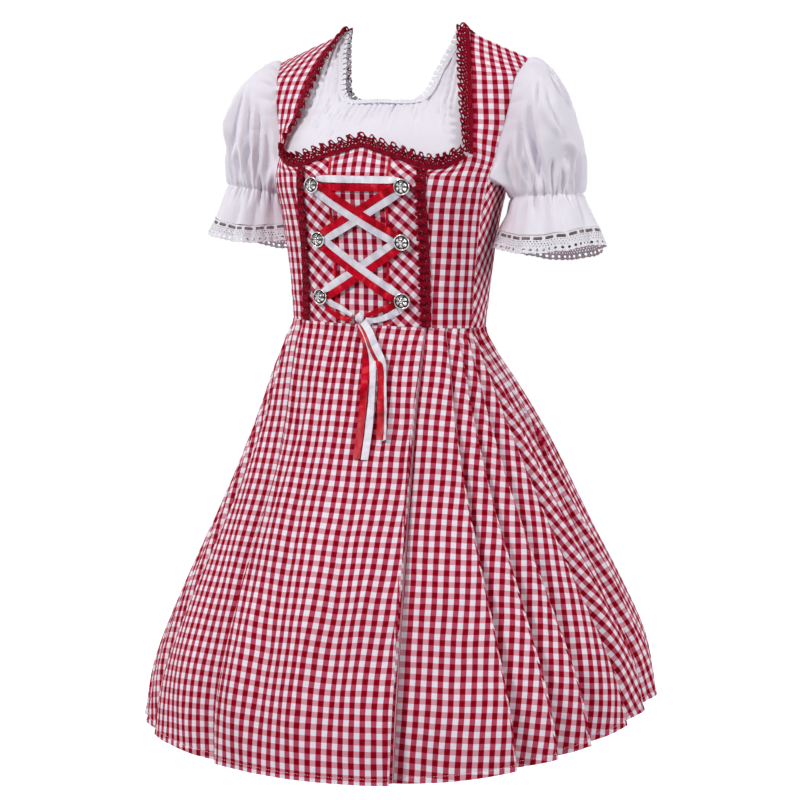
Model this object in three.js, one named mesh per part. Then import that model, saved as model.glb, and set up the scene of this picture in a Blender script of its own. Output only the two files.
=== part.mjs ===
// A dirndl costume: a gingham dress with a laced bodice and a pleated skirt, over a puff-sleeved blouse,
// filled out as if worn. Sizes are in millimetres, +Z is up, the front faces -Y, +X is the wearer's left.
// The origin is midway between the shoulder seams, where the wearer's shoulders carry the set.
import * as THREE from 'three';

const { Vector3 } = THREE;
const RAD = Math.PI / 180;

// Driving sizes
const CLOTH = 1.4; // wall of the gingham and of the blouse
const SEAM = 0.4; // clear gap between two sewn pieces
const STACK = 0.3; // clear gap under a piece that lies on another
const BLOUSE_IN = 2.5; // how far the blouse lies inside the face of the dress
const WAIST = -396;
const HEM = -934;
const BLOUSE_HEM = -276; // a dirndl blouse ends under the bust
const TILT = 0.04; // the wearer's left side hangs this much lower, per millimetre out from the centre

// Seam lines of the bodice
const PIPING_TOP = 43; // half distance between the two pipings at the neckline
const PIPING_WAIST = 36;
const STRIP_SEAM = 94; // from the centre to the seam outside each lace strip
const SIDE_FRONT = 75 * RAD; // seam between the front and the side panel, from straight ahead
const SIDE_BACK = 114 * RAD;
const BLOUSE_SIDE = 95 * RAD;
const STRAP_SHARE = 0.86; // inner edge of the strap, as a share of the half width
const BACK_CORNER = 124; // from the centre back to the corner of the back neckline

// Cross-sections of the dress: half width, front and back depth, the depth where it is widest, and how
// square the section is, 2 for an ellipse.
const RINGS = [
  { z: -940, half: 355, front: -364, wide: -9, back: 346, square: 2.0 },
  { z: -860, half: 341, front: -348, wide: -7, back: 334, square: 2.0 },
  { z: -773, half: 308, front: -310, wide: -7, back: 295, square: 2.0 },
  { z: -685, half: 268, front: -264, wide: -9, back: 246, square: 2.0 },
  { z: -597, half: 229, front: -214, wide: -12, back: 196, square: 2.05 },
  { z: -510, half: 189, front: -176, wide: -22, back: 132, square: 2.15 },
  { z: -466, half: 168, front: -161, wide: -33, back: 95, square: 2.25 },
  { z: -422, half: 144, front: -143, wide: -45, back: 57, square: 2.45 },
  { z: -396, half: 132.5, front: -131, wide: -47, back: 43, square: 2.6 },
  { z: -363, half: 134, front: -130, wide: -47, back: 49, square: 2.7 },
  { z: -320, half: 138, front: -131, wide: -48, back: 59, square: 2.7 },
  { z: -286, half: 142, front: -134, wide: -49, back: 67, square: 2.7 },
  { z: -250, half: 147, front: -139, wide: -49, back: 75, square: 2.7 },
  { z: -216, half: 154, front: -143, wide: -48, back: 82, square: 2.7 },
  { z: -190, half: 159, front: -137, wide: -46, back: 85, square: 2.6 },
  { z: -160, half: 161, front: -127, wide: -44, back: 86, square: 2.6 },
];
const LEVELS = [WAIST, -356, -316, BLOUSE_HEM, -246, -222, -202];
const TOP_LEVEL = LEVELS.at(-1);

// Height of the front neckline of the dress at each distance from the centre
const NECKLINE = [
  { x: 0, z: -164 },
  { x: 43, z: -176 },
  { x: 70, z: -184 },
  { x: 94, z: -190 },
  { x: 110, z: -189 },
  { x: 124, z: -183 },
  { x: 138, z: -172 },
];

// Rows of the upper front, from the bust to the shoulder seam. Each has the armhole, the inner edge of the
// strap, the edge of the blouse's neck, and below that neck the centre.
const CHEST = [
  { armhole: [158, -60, -178], strap: [137, -92, -172], neck: [62, -119, -166], centre: [0, -124, -164] },
  { armhole: [162, -56, -155], strap: [133, -84, -150], neck: [61, -103, -140], centre: [0, -110, -140] },
  { armhole: [168, -50, -128], strap: [128, -70, -127], neck: [60, -83, -117], centre: [0, -91, -118] },
  { armhole: [173, -45, -99], strap: [123, -60, -99], neck: [59, -62.5, -98], centre: [0, -75, -103] },
  { armhole: [177, -36, -68], strap: [116, -45, -66], neck: [76, -37, -55] },
  { armhole: [181, -21, -52], strap: [105, -23, -31], neck: [85, -17, -26] },
  { armhole: [185, -4, -41], strap: [94, 4, -3], neck: [89.5, 4, -1.5] },
];

// Rows of the upper back, from the shoulder blades to the shoulder seam, with the same points.
const BLADES = [
  { armhole: [159, 24, -178], strap: [124, 66, -172], neck: [84, 81, -171], centre: [0, 86, -170] },
  { armhole: [164, 44, -146], strap: [124, 74, -138], neck: [84, 84, -137], centre: [0, 87, -136] },
  { armhole: [168, 53, -120], strap: [127, 71, -106], neck: [108, 77, -107], centre: [0, 84, -112] },
  { armhole: [172, 54, -98], strap: [126, 63, -78], neck: [119, 65, -76] },
  { armhole: [177, 44, -74], strap: [119, 46, -48], neck: [112, 48, -45] },
  { armhole: [182, 20, -54], strap: [107, 25, -22], neck: [101, 26, -19] },
  { armhole: [185, -4, -41], strap: [94, 4, -3], neck: [89.5, 4, -1.5] },
];
const BLOUSE_BACK_RISE = new Vector3(0, -3, 14); // from the dress's back neck to the blouse's
const NECK_ROW = 2; // the back neck edge of the dress

// Folds of the skirt, as angles from its centre line to the edge of each fold, at the waist and at the hem.
// The first is the edge of the wide front panel.
const FOLDS = [
  { waist: 39.3, hem: 19.3 },
  { waist: 52, hem: 45 },
  { waist: 61, hem: 54.5 },
  { waist: 69, hem: 63.5 },
  { waist: 77, hem: 76.5 },
  { waist: 84, hem: 86 },
  { waist: 97, hem: 99 },
  { waist: 110, hem: 113 },
  { waist: 123, hem: 127 },
  { waist: 136, hem: 141 },
  { waist: 149, hem: 155 },
  { waist: 164, hem: 169 },
];
const SIDE_SEAM = { waist: 90, hem: 91 };
const FRONT_FOLDS = 6; // folds before the side seam
const PANEL_TURN = { waist: -2.4, hem: 3.4 }; // degrees the front panel's centre line is to the left
const FOLD_DEPTH_WAIST = 2.2;
const FOLD_DEPTH_HEM = 24;
const FOLD_RETURN_WAIST = 1.1; // width in degrees of the step behind each fold edge
const FOLD_RETURN_HEM = 0.9;
const HEM_LIFT = 42; // the hem rides up on the wearer's left side
const SKIRT_LEVELS = [WAIST, -414, -446, -500, -570, -650, -740, -835, HEM];

// Sleeve rings: centre, half width and half depth, how much higher the outer side and the back are, and how
// far the edge waves in and out
const ELASTIC = { x: 213, y: -12, z: -221, across: 45, along: 45, outer: 5, back: 0, wave: 0 };
const CUFF = { x: 217, y: -13, z: -269, across: 65, along: 60, outer: 4, back: -4, wave: 3 };
const LACE_EDGE = { x: 218, y: -14, z: -293, across: 74, along: 68, outer: 4, back: -4, wave: 4 };
const CUFF_SIDES_UP = 14; // the flounce's sides ride this much above its front and back
const CUFF_WAVES = 7;
const SLEEVE_COLUMNS = 28;
const SLEEVE_ROWS = 5;
const FLOUNCE_ROWS = [0.5, 1];
// The puff leaves the armhole and reaches the elastic with these directions and pulls, at the shoulder, at
// the front and back, and under the arm.
const PUFF = {
  top: { along: 0.56, out: 0.75, leave: 96, arrive: 224 },
  side: { along: 0.75, out: 0.65, leave: 170, arrive: 130 },
  under: { along: 0.1, out: 0.95, leave: 40, arrive: 30 },
};
const PUFF_FORE = { out: 0.88, leave: 0.64 }; // how much fuller the cap is in front than behind
const PUFF_IN = 0.35; // how much the puff turns in over the elastic
const SLEEVE_OFF = { seam: 2, puff: 4.5, rise: 2 }; // from the armhole's edge to the seam and to the puff's foot

// Trimmings
const PIPING = { width: 3.6, height: 1.4, top: -182 };
const LACE_WALL = 1.2;
// Lace along a neck edge: how far it reaches below and past the edge, the length of a wave and how far it
// swings, how far the outer face of its foot stands off the dress and its free edge off the foot, its wall
const RUFFLE = { down: 3, up: 14, period: 19, swing: 2, base: 1.6, stand: 4.4, wall: LACE_WALL };
const STRAP_RUFFLE = { ...RUFFLE, base: 2.6, stand: 3.4 }; // stands further off, over the blouse's lace
const NECK_LACE = { down: 3, up: 9, period: 26, swing: 0, base: 0.5, stand: 0, wall: 1 };
const NECK_RUFFLE_END = 122; // the front ruffle ends this far out, where the strap's passes
const BACK_RUFFLE_END = 1.9; // the back ruffle ends at this place of its row, inside the strap's
const STRIP = { from: 82, to: 93, wall: 1.2, top: -195 };
const BUTTON = { radius: 10.5, under: 4.9, rim: 1.4, lip: 1.6, height: 5.6, shank: 2.4 };
const BUTTONS = [
  { row: 1, x: 64, z: -217 },
  { row: 2, x: 60, z: -287 },
  { row: 3, x: 58.5, z: -363 },
];
const RIBBON = { width: 9.5, wall: 0.5, base: 2, layer: 0.9, gap: 0.4, start: 4.5 };
// Ribbon pairs across the front: the buttons they run between, how far above them, how many layers lie
// under them, and the colour of the upper ribbon
const CROSSINGS = [
  { name: 'bar', right: 1, left: 1, rise: 3, layer: 0, upper: 'white' },
  { name: 'upper_back', right: 2, left: 1, rise: 0, layer: 1, upper: 'red' },
  { name: 'upper_front', right: 1, left: 2, rise: 0, layer: 2, upper: 'red' },
  { name: 'lower_back', right: 3, left: 2, rise: 0, layer: 1, upper: 'white' },
  { name: 'lower_front', right: 2, left: 3, rise: 0, layer: 2, upper: 'white' },
];
const LOOP_WIDTH = { start: 0.85, end: 0.5 }; // as shares of the ribbon's width
const KNOT = { x: 1, z: -388, out: 8.5, wide: 8, high: 7, deep: 4.6 };
// The two loops from the lowest buttons to the knot, by distance from the centre, height and distance off
// the cloth, for the wearer's left. The upper ribbon of each pair is listed first.
const LOOPS = [
  [[53, -365, 1.7], [43, -371, 2.2], [28, -376, 4.2], [17, -381.5, 6.4], [9.6, -385, 7.6]],
  [[52, -376, 1.8], [41, -382.5, 2.8], [27, -388.5, 4.2], [17, -391, 6.4], [10.2, -390.4, 7.6]],
];
// The hanging ends, by place across, height and distance off the skirt
const TAILS = {
  short_red: [[5, -395.5, 7.4], [14, -409, 7.4], [26, -428, 6.4], [39, -449, 4.2], [44, -478, 3.4],
    [49, -510, 3.4], [53, -541, 3.4]],
  short_white: [[7, -394, 9.4], [18, -408, 9.4], [31, -427, 8.2], [44, -448, 5.6], [49.5, -478, 4.8],
    [54.5, -510, 4.8], [58.5, -542, 4.8]],
  long_red: [[-1, -396.5, 3.4], [7, -409, 2.2], [15, -425, 2], [20, -458, 2], [22.5, -491, 2],
    [25, -530, 2], [26.6, -565, 2]],
  long_white: [[1.5, -396.5, 5.2], [13, -411, 3.8], [24, -431, 3.4], [31, -462, 2.6], [33.5, -491, 2],
    [36, -530, 2], [37.6, -566, 2]],
};
const TAIL_WALL = 0.7;

const COLOURS = {
  gingham: { color: 0xbd7487, roughness: 0.85 },
  cotton: { color: 0xe2dfe8, roughness: 0.85 },
  redLace: { color: 0x7b0e22, roughness: 0.8 },
  whiteLace: { color: 0xf0eef2, roughness: 0.85 },
  redSatin: { color: 0xc4202f, roughness: 0.35 },
  whiteSatin: { color: 0xf2f0f4, roughness: 0.35 },
  silver: { color: 0xb8b6b4, roughness: 0.3, metalness: 1 },
};
const MATERIALS = Object.fromEntries(
  Object.entries(COLOURS).map(([name, look]) => [name, new THREE.MeshStandardMaterial(look)]),
);

// ---- Curves and sections

const mix = (a, b, t) => a + (b - a) * t;
const step = (t) => THREE.MathUtils.smoothstep(t, 0, 1);

// Weights of the start, its direction, the end and its direction, part way along a smooth curve
const hermite = (t) => {
  const go = t * t * (3 - 2 * t);
  return [1 - go, t * (1 - t) ** 2, go, t * t * (t - 1)];
};

// A smooth curve through a table's column. It doesn't overshoot at a highest or lowest row.
function column(table, key, at, by = 'z') {
  let i = 0;
  while (i < table.length - 2 && at > table[i + 1][by]) i += 1;
  const slope = (k) => {
    const rise = (n) => (table[n + 1][key] - table[n][key]) / (table[n + 1][by] - table[n][by]);
    if (k === 0) return rise(0);
    if (k === table.length - 1) return rise(k - 1);
    const before = rise(k - 1);
    const after = rise(k);
    const first = table[k][by] - table[k - 1][by];
    const second = table[k + 1][by] - table[k][by];
    return before * after <= 0 ? 0 : (before * second + after * first) / (first + second);
  };
  const width = table[i + 1][by] - table[i][by];
  const t = (at - table[i][by]) / width;
  const [stay, leave, go, arrive] = hermite(t);
  const values = stay * table[i][key] + go * table[i + 1][key];
  return values + width * (leave * slope(i) + arrive * slope(i + 1));
}

// A point of the dress at a height and an angle from straight ahead, towards the wearer's left.
function ring(z, angle) {
  const [half, front, wide, back, square] = ['half', 'front', 'wide', 'back', 'square'].map((key) =>
    column(RINGS, key, z),
  );
  const side = Math.sin(angle);
  const ahead = Math.cos(angle);
  const scale = (Math.abs(side) ** square + Math.abs(ahead) ** square) ** (1 / square);
  const depth = ahead > 0 ? wide - front : back - wide;
  return new Vector3((half * side) / scale, wide - (depth * ahead) / scale, z);
}

function normalOf(surface, z, angle) {
  const across = surface(z, angle + 0.002).sub(surface(z, angle - 0.002));
  const up = surface(z + 1, angle).sub(surface(z - 1, angle));
  return across.cross(up).normalize();
}

const lifted = (z, angle, out) => ring(z, angle).addScaledVector(normalOf(ring, z, angle), out);

// The angle of the point of a section that is x out from the centre, ahead or behind.
function angleAt(z, x, behind = false) {
  let low = 0;
  let high = Math.PI / 2;
  for (let i = 0; i < 40; i += 1) {
    const middle = (low + high) / 2;
    if (ring(z, middle).x < Math.abs(x)) low = middle;
    else high = middle;
  }
  return Math.sign(x) * (behind ? Math.PI - low : low);
}

// ---- Cloth

const RIDGE = new Vector3(0.39, 0, 0.92); // outward at the left shoulder seam

const facing = (rows, i, j, loop) => {
  const last = rows[0].length - 1;
  const left = loop ? (j + last) % (last + 1) : Math.max(j - 1, 0);
  const right = loop ? (j + 1) % (last + 1) : Math.min(j + 1, last);
  const below = rows[Math.max(i - 1, 0)];
  const above = rows[Math.min(i + 1, rows.length - 1)];
  return [left, right, below, above];
};

// The outward direction at each point of a grid, whose points may be missing where it has a hole. The last
// row of a shoulder piece is on the ridge that front and back share.
function normals(rows, loop, ridge) {
  return rows.map((row, i) =>
    row.map((point, j) => {
      if (!point) return null;
      if (ridge && i === rows.length - 1) return new Vector3(Math.sign(point.x) * RIDGE.x, 0, RIDGE.z);
      const [left, right, below, above] = facing(rows, i, j, loop);
      const across = (row[right] ?? point).clone().sub(row[left] ?? point);
      const up = (above[j] ?? point).clone().sub(below[j] ?? point);
      return across.cross(up).normalize();
    }),
  );
}

function moved(rows, out, { loop = false, ridge = false } = {}) {
  const away = normals(rows, loop, ridge);
  return rows.map((row, i) => row.map((point, j) => point && point.clone().addScaledVector(away[i][j], out)));
}

// A closed wall whose outer face is a grid of points, with a loop of columns where it is a tube. Rows run
// up and columns run to the wearer's left across the front. A cell is kept where its four corners exist.
function wall(rows, thickness, shape = {}) {
  const columns = rows[0].length;
  const inner = moved(rows, -thickness, shape);
  const places = [];
  const index = (face, i, j) => (face * rows.length + i) * columns + (j % columns);
  for (const grid of [rows, inner]) {
    for (const point of grid.flat()) places.push(...(point ?? new Vector3()).toArray());
  }
  const faces = [];
  const edges = new Map();
  for (let i = 0; i < rows.length - 1; i += 1) {
    for (let j = 0; j < (shape.loop ? columns : columns - 1); j += 1) {
      const corners = [[i, j], [i, j + 1], [i + 1, j + 1], [i + 1, j]];
      if (corners.some(([k, n]) => !rows[k][n % columns])) continue;
      const [a, b, c, d] = corners.map(([k, n]) => index(0, k, n));
      const [e, f, g, h] = corners.map(([k, n]) => index(1, k, n));
      if (rows[i][j].x + rows[i + 1][j].x < 0) faces.push(a, b, d, b, c, d, e, h, f, f, h, g);
      else faces.push(a, b, c, a, c, d, e, g, f, e, h, g);
      for (const [from, to] of [[a, b], [b, c], [c, d], [d, a]]) edges.set(`${from}/${to}`, [from, to]);
    }
  }
  const deep = rows.length * columns;
  for (const [from, to] of edges.values()) {
    if (edges.has(`${to}/${from}`)) continue;
    faces.push(to, from, from + deep, to, from + deep, to + deep);
  }
  return solidOf(places, faces);
}

// A geometry with only the points that its faces use.
function solidOf(places, faces) {
  const used = new Map();
  const kept = [];
  const index = faces.map((corner) => {
    if (!used.has(corner)) {
      used.set(corner, used.size);
      kept.push(...places.slice(3 * corner, 3 * corner + 3));
    }
    return used.get(corner);
  });
  const geometry = new THREE.BufferGeometry();
  geometry.setAttribute('position', new THREE.Float32BufferAttribute(kept, 3));
  geometry.setIndex(index);
  return geometry;
}

function mirrored(geometry) {
  const copy = geometry.clone();
  copy.scale(-1, 1, 1);
  const index = copy.getIndex();
  for (let i = 0; i < index.count; i += 3) {
    const second = index.getX(i + 1);
    index.setX(i + 1, index.getX(i + 2));
    index.setX(i + 2, second);
  }
  return copy;
}

// The grid with its outer rows and columns drawn in by half a seam's gap.
function trimmed(rows, gap = SEAM) {
  const copy = rows.map((row) => row.map((point) => point && point.clone()));
  const draw = (grid, point, i, j, toward) => {
    if (point && toward) grid[i][j].addScaledVector(toward.clone().sub(point).normalize(), gap / 2);
  };
  const top = rows.length - 1;
  const last = rows[0].length - 1;
  rows.forEach((row, i) => {
    const first = row.findIndex((point) => point);
    const end = row.findLastIndex((point) => point);
    draw(copy, row[first], i, first, row[first + 1]);
    draw(copy, row[end], i, end, row[end - 1]);
  });
  for (let j = 0; j <= last; j += 1) {
    draw(copy, rows[0][j], 0, j, rows[1][j]);
    draw(copy, rows[top][j], top, j, rows[top - 1][j]);
  }
  return copy;
}

const spread = (from, to, count) => Array.from({ length: count + 1 }, (_, k) => mix(from, to, k / count));
const pointsOn = (curve, spans) => spans.map((t) => curve.getPoint(t));

// ---- The set

const costume = new THREE.Group();

// The wearer's left side of the whole set hangs lower, fading out below the waist.
function settled(geometry) {
  const place = geometry.getAttribute('position');
  for (let i = 0; i < place.count; i += 1) {
    const fade = step((place.getZ(i) - (WAIST - 170)) / 170);
    place.setZ(i, place.getZ(i) - TILT * fade * place.getX(i));
  }
  geometry.computeVertexNormals();
  return geometry;
}

function add(name, geometry, material) {
  const mesh = new THREE.Mesh(settled(geometry), MATERIALS[material]);
  mesh.name = name;
  costume.add(mesh);
}

function addPair(name, geometry, material) {
  add(`${name}_right`, mirrored(geometry), material);
  add(`${name}_left`, geometry, material);
}

// ---- Bodice

const necklineAt = (x) => column(NECKLINE, 'z', Math.min(Math.abs(x), NECKLINE.at(-1).x), 'x');
const onFront = (x, z) => ring(z, angleAt(z, x));
const pipingAt = (z) => mix(PIPING_WAIST, PIPING_TOP, (z - WAIST) / (necklineAt(PIPING_TOP) - WAIST));
const strapAt = (z) => STRAP_SHARE * column(RINGS, 'half', z);

function bodiceCentre() {
  const shares = spread(-1, 1, 6);
  const rows = LEVELS.map((z) => shares.map((share) => onFront(share * pipingAt(z), z)));
  rows.push(shares.map((share) => onFront(share * PIPING_TOP, necklineAt(share * PIPING_TOP))));
  return wall(trimmed(rows), CLOTH);
}

function bodiceBias() {
  const shares = spread(0, 1, 4);
  const rows = LEVELS.map((z) => shares.map((share) => onFront(mix(pipingAt(z), STRIP_SEAM, share), z)));
  const across = shares.map((share) => mix(PIPING_TOP, STRIP_SEAM, share));
  rows.push(across.map((x) => onFront(x, necklineAt(x))));
  return wall(trimmed(rows), CLOTH);
}

// A row of the upper body: from the armhole over the strap's inner edge to the neck, and to the centre.
function upperCurve(row) {
  const half = [row.armhole, row.strap, row.neck].map((point) => new Vector3(...point));
  if (!row.centre) return new THREE.CatmullRomCurve3(half);
  const other = half.map((point) => point.clone().setX(-point.x)).reverse();
  return new THREE.CatmullRomCurve3([...half, new Vector3(...row.centre), ...other]);
}

// Points of such a row at places counted in its points: 0 armhole, 1 strap, 2 neck, 3 centre.
function upperRow(row, places) {
  const curve = upperCurve(row);
  const spans = row.centre ? 6 : 2;
  return places.map((place) => curve.getPoint(place / spans));
}

const STRAP_PLACES = spread(0, 1, 4);
const BACK_PLACES = [...STRAP_PLACES, 1.5, 2, 2.5, 3];

// The front beside the lace strip, which runs on as the shoulder strap.
function bodiceFront() {
  const beside = spread(0, 1, 4);
  const rows = LEVELS.map((z) => {
    const inner = beside.map((share) => onFront(mix(STRIP_SEAM, strapAt(z), share), z));
    const angles = spread(angleAt(z, strapAt(z)), SIDE_FRONT, 4).slice(1);
    return [...inner, ...angles.map((angle) => ring(z, angle))];
  });
  const corner = CHEST[0].strap[0];
  const edge = beside.slice(0, -1).map((share) => {
    const x = mix(STRIP_SEAM, corner, share);
    return onFront(x, necklineAt(x));
  });
  const strap = (row) => upperRow(row, STRAP_PLACES).reverse();
  rows.push([...edge, ...strap(CHEST[0])]);
  for (const row of CHEST.slice(1)) rows.push([null, null, null, null, ...strap(row)]);
  return wall(trimmed(rows), CLOTH, { ridge: true });
}

const ARMPIT = [
  { angle: 75 * RAD, z: TOP_LEVEL },
  { angle: 84 * RAD, z: -207 },
  { angle: 95 * RAD, z: -209 },
  { angle: 105 * RAD, z: -207 },
  { angle: 114 * RAD, z: TOP_LEVEL },
];
const armpitAt = (angle) => column(ARMPIT, 'z', angle, 'angle');

function bodiceSide() {
  const angles = spread(SIDE_FRONT, SIDE_BACK, 6);
  const rows = LEVELS.slice(0, -1).map((z) => angles.map((angle) => ring(z, angle)));
  rows.push(angles.map((angle) => ring(armpitAt(angle), angle)));
  return wall(trimmed(rows), CLOTH);
}

function bodiceBack() {
  const rows = LEVELS.map((z) => {
    const corner = angleAt(z, BACK_CORNER, true);
    const angles = [...spread(SIDE_BACK, corner, 4), ...spread(corner, Math.PI, 4).slice(1)];
    return angles.map((angle) => ring(z, angle));
  });
  for (const row of BLADES) {
    const places = row.centre ? BACK_PLACES : STRAP_PLACES;
    const points = upperRow(row, places);
    rows.push([...points, ...Array(9 - points.length).fill(null)]);
  }
  return wall(trimmed(rows), CLOTH, { ridge: true });
}

add('bodice_centre', bodiceCentre(), 'gingham');
addPair('bodice_bias', bodiceBias(), 'gingham');
addPair('bodice_front', bodiceFront(), 'gingham');
addPair('bodice_side', bodiceSide(), 'gingham');
addPair('bodice_back', bodiceBack(), 'gingham');

// ---- Skirt

const down = (z) => (WAIST - z) / (WAIST - HEM);
const panelTurn = (z) => mix(PANEL_TURN.waist, PANEL_TURN.hem, down(z));

// The angle at a height of a line that runs straight from one angle at the waist to another at the hem.
function lineAngle(line, z) {
  const t = down(z);
  const start = ring(WAIST, line.waist * RAD);
  const end = ring(HEM, line.hem * RAD);
  const [half, front, wide, back] = ['half', 'front', 'wide', 'back'].map((key) => column(RINGS, key, z));
  const x = mix(start.x, end.x, t);
  const y = mix(start.y, end.y, t);
  const depth = y < wide ? wide - front : back - wide;
  return Math.atan2(x / half, (wide - y) / depth) / RAD;
}

// Angles and depths across the folds of one side, from the centre line back. Each face rises to its fold's
// edge, then the cloth steps in behind it.
function foldColumns(z, first, last, start, end) {
  const depth = mix(FOLD_DEPTH_WAIST, FOLD_DEPTH_HEM, down(z) ** 0.8);
  const back = mix(FOLD_RETURN_WAIST, FOLD_RETURN_HEM, down(z));
  const edges = FOLDS.slice(first, last).map((fold) => lineAngle(fold, z));
  const columns = [];
  let from = start;
  let low = first === 0 ? 0 : -depth * 0.5;
  for (const edge of edges) {
    for (const share of from === 0 ? [0.25, 0.5, 0.75, 1] : [0.5, 1]) {
      columns.push({ angle: mix(from, edge, share), out: mix(low, 0, share) });
    }
    columns.push({ angle: edge + back, out: -depth });
    from = edge + back;
    low = -depth;
  }
  const out = -depth * 0.5;
  if (end === 180) columns.push({ angle: end - 3, out });
  columns.push({ angle: end, out });
  return columns;
}

function skirtPoint(z, angle, out) {
  const lift = HEM_LIFT * down(z) ** 2 * step(1 - Math.abs(angle - 112) / 90);
  return lifted(z, angle * RAD, out).add(new Vector3(0, 0, lift));
}

const sideSeam = (z) => mix(SIDE_SEAM.waist, SIDE_SEAM.hem, down(z));

function skirtFront() {
  const rows = SKIRT_LEVELS.map((z) => {
    const half = foldColumns(z, 0, FRONT_FOLDS, 0, sideSeam(z));
    const turn = panelTurn(z);
    const left = half.map(({ angle, out }) => skirtPoint(z, turn + angle, out));
    const right = half.map(({ angle, out }) => skirtPoint(z, turn - angle, out)).reverse();
    return [...right, skirtPoint(z, turn, 0), ...left];
  });
  return wall(trimmed(rows.reverse()), CLOTH);
}

function skirtBack(side) {
  const rows = SKIRT_LEVELS.map((z) => {
    const turn = panelTurn(z);
    const half = foldColumns(z, FRONT_FOLDS, FOLDS.length, sideSeam(z), 180);
    const depth = mix(FOLD_DEPTH_WAIST, FOLD_DEPTH_HEM, down(z) ** 0.8);
    const all = [{ angle: sideSeam(z), out: -depth * 0.5 }, ...half];
    const points = all.map(({ angle, out }) => skirtPoint(z, turn + side * angle, out));
    return side > 0 ? points : points.reverse();
  });
  return wall(trimmed(rows.reverse()), CLOTH);
}

add('skirt_front', skirtFront(), 'gingham');
add('skirt_back_left', skirtBack(1), 'gingham');
add('skirt_back_right', skirtBack(-1), 'gingham');

// ---- Blouse

const CLEAR = new Array(2).fill(null);
const BLOUSE_LEVELS = [...LEVELS.slice(LEVELS.indexOf(BLOUSE_HEM), -1), TOP_LEVEL - 7];

function blouseFront() {
  const places = [...spread(0, 1, 4), 1.33, 1.67, 2, 2.33, 2.67, 3];
  const ringRow = (z) => {
    const strap = angleAt(z, strapAt(z));
    const neck = angleAt(z, 60);
    const angles = [BLOUSE_SIDE, mix(BLOUSE_SIDE, SIDE_FRONT, 0.5), ...spread(SIDE_FRONT, strap, 4)];
    angles.push(...spread(strap, neck, 3).slice(1), ...spread(neck, 0, 3).slice(1));
    return angles.map((angle) => ring(z, angle));
  };
  const halves = BLOUSE_LEVELS.map(ringRow);
  halves.push([...CLEAR, ...ringRow(TOP_LEVEL).slice(2)]);
  for (const row of CHEST) {
    const reach = row.centre ? places : places.slice(0, 8);
    const points = upperRow(row, reach);
    halves.push([...CLEAR, ...points, ...Array(places.length - points.length).fill(null)]);
  }
  const rows = halves.map((half) => {
    const other = half.slice(0, -1).map((point) => point && point.clone().setX(-point.x));
    return [...other, ...half.reverse()];
  });
  return wall(trimmed(moved(rows, -BLOUSE_IN, { ridge: true })), CLOTH, { ridge: true });
}

function blouseBack() {
  const ringRow = (z) => {
    const strap = angleAt(z, BACK_CORNER, true);
    const angles = [BLOUSE_SIDE, mix(BLOUSE_SIDE, SIDE_BACK, 0.5), ...spread(SIDE_BACK, strap, 4)];
    angles.push(...spread(strap, Math.PI, 4).slice(1));
    return angles.map((angle) => ring(z, angle));
  };
  const halves = BLOUSE_LEVELS.map(ringRow);
  halves.push([...CLEAR, ...ringRow(TOP_LEVEL).slice(2)]);
  BLADES.forEach((row, i) => {
    const reach = row.centre ? BACK_PLACES : BACK_PLACES.slice(0, 7);
    const points = upperRow(row, reach);
    if (i === NECK_ROW) for (const point of points.slice(6)) point.add(BLOUSE_BACK_RISE);
    halves.push([...CLEAR, ...points, ...Array(BACK_PLACES.length - points.length).fill(null)]);
  });
  const rows = halves.map((half) => {
    const other = half.slice(0, -1).map((point) => point && point.clone().setX(-point.x));
    return [...half, ...other.reverse()];
  });
  return wall(trimmed(moved(rows, -BLOUSE_IN, { ridge: true })), CLOTH, { ridge: true });
}

add('blouse_front', blouseFront(), 'cotton');
add('blouse_back', blouseBack(), 'cotton');

// ---- Sleeves

// The armhole from the shoulder tip down the front, under the arm and up the back.
const underArm = [84, 95, 105].map((degrees) => ring(armpitAt(degrees * RAD), degrees * RAD));
const armhole = new THREE.CatmullRomCurve3(
  [
    ...CHEST.map((row) => new Vector3(...row.armhole)).reverse(),
    ring(TOP_LEVEL, SIDE_FRONT),
    ...underArm,
    ring(TOP_LEVEL, SIDE_BACK),
    ...BLADES.slice(0, -1).map((row) => new Vector3(...row.armhole)),
  ],
  true,
);

// Directions at the shoulder, the front, under the arm and the back: out of the cloth, and off its edge.
const around = (vectors) => new THREE.CatmullRomCurve3(vectors.map((v) => new Vector3(...v)), true);
const armholeOut = around([[0.39, 0, 0.92], [0.43, -0.88, 0.2], [1, 0, 0], [0.27, 0.95, 0.15]]);
const armholeOff = around([[0.92, 0, -0.39], [0.9, 0.43, 0], [0, 0, 1], [0.96, -0.27, 0]]);

const waved = (turn, size) => {
  const inside = Math.max(0, -Math.cos(turn));
  return size * (1 - 0.6 * inside) * Math.cos(CUFF_WAVES * turn);
};

// A point of a sleeve between two of its rings, at a turn from the outer side towards the front.
function cuffPoint(from, to, t, turn) {
  const size = (key) => mix(from[key], to[key], t);
  const side = Math.cos(turn);
  const ahead = Math.sin(turn);
  const wave = waved(turn, size('wave'));
  const lift = from === ELASTIC ? t : 1;
  const up = size('outer') * side - size('back') * ahead + CUFF_SIDES_UP * lift * (side ** 2 - 0.5);
  return new Vector3(
    size('x') + (size('across') + wave) * side,
    size('y') - (size('along') + wave) * ahead,
    size('z') + up,
  );
}

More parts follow.
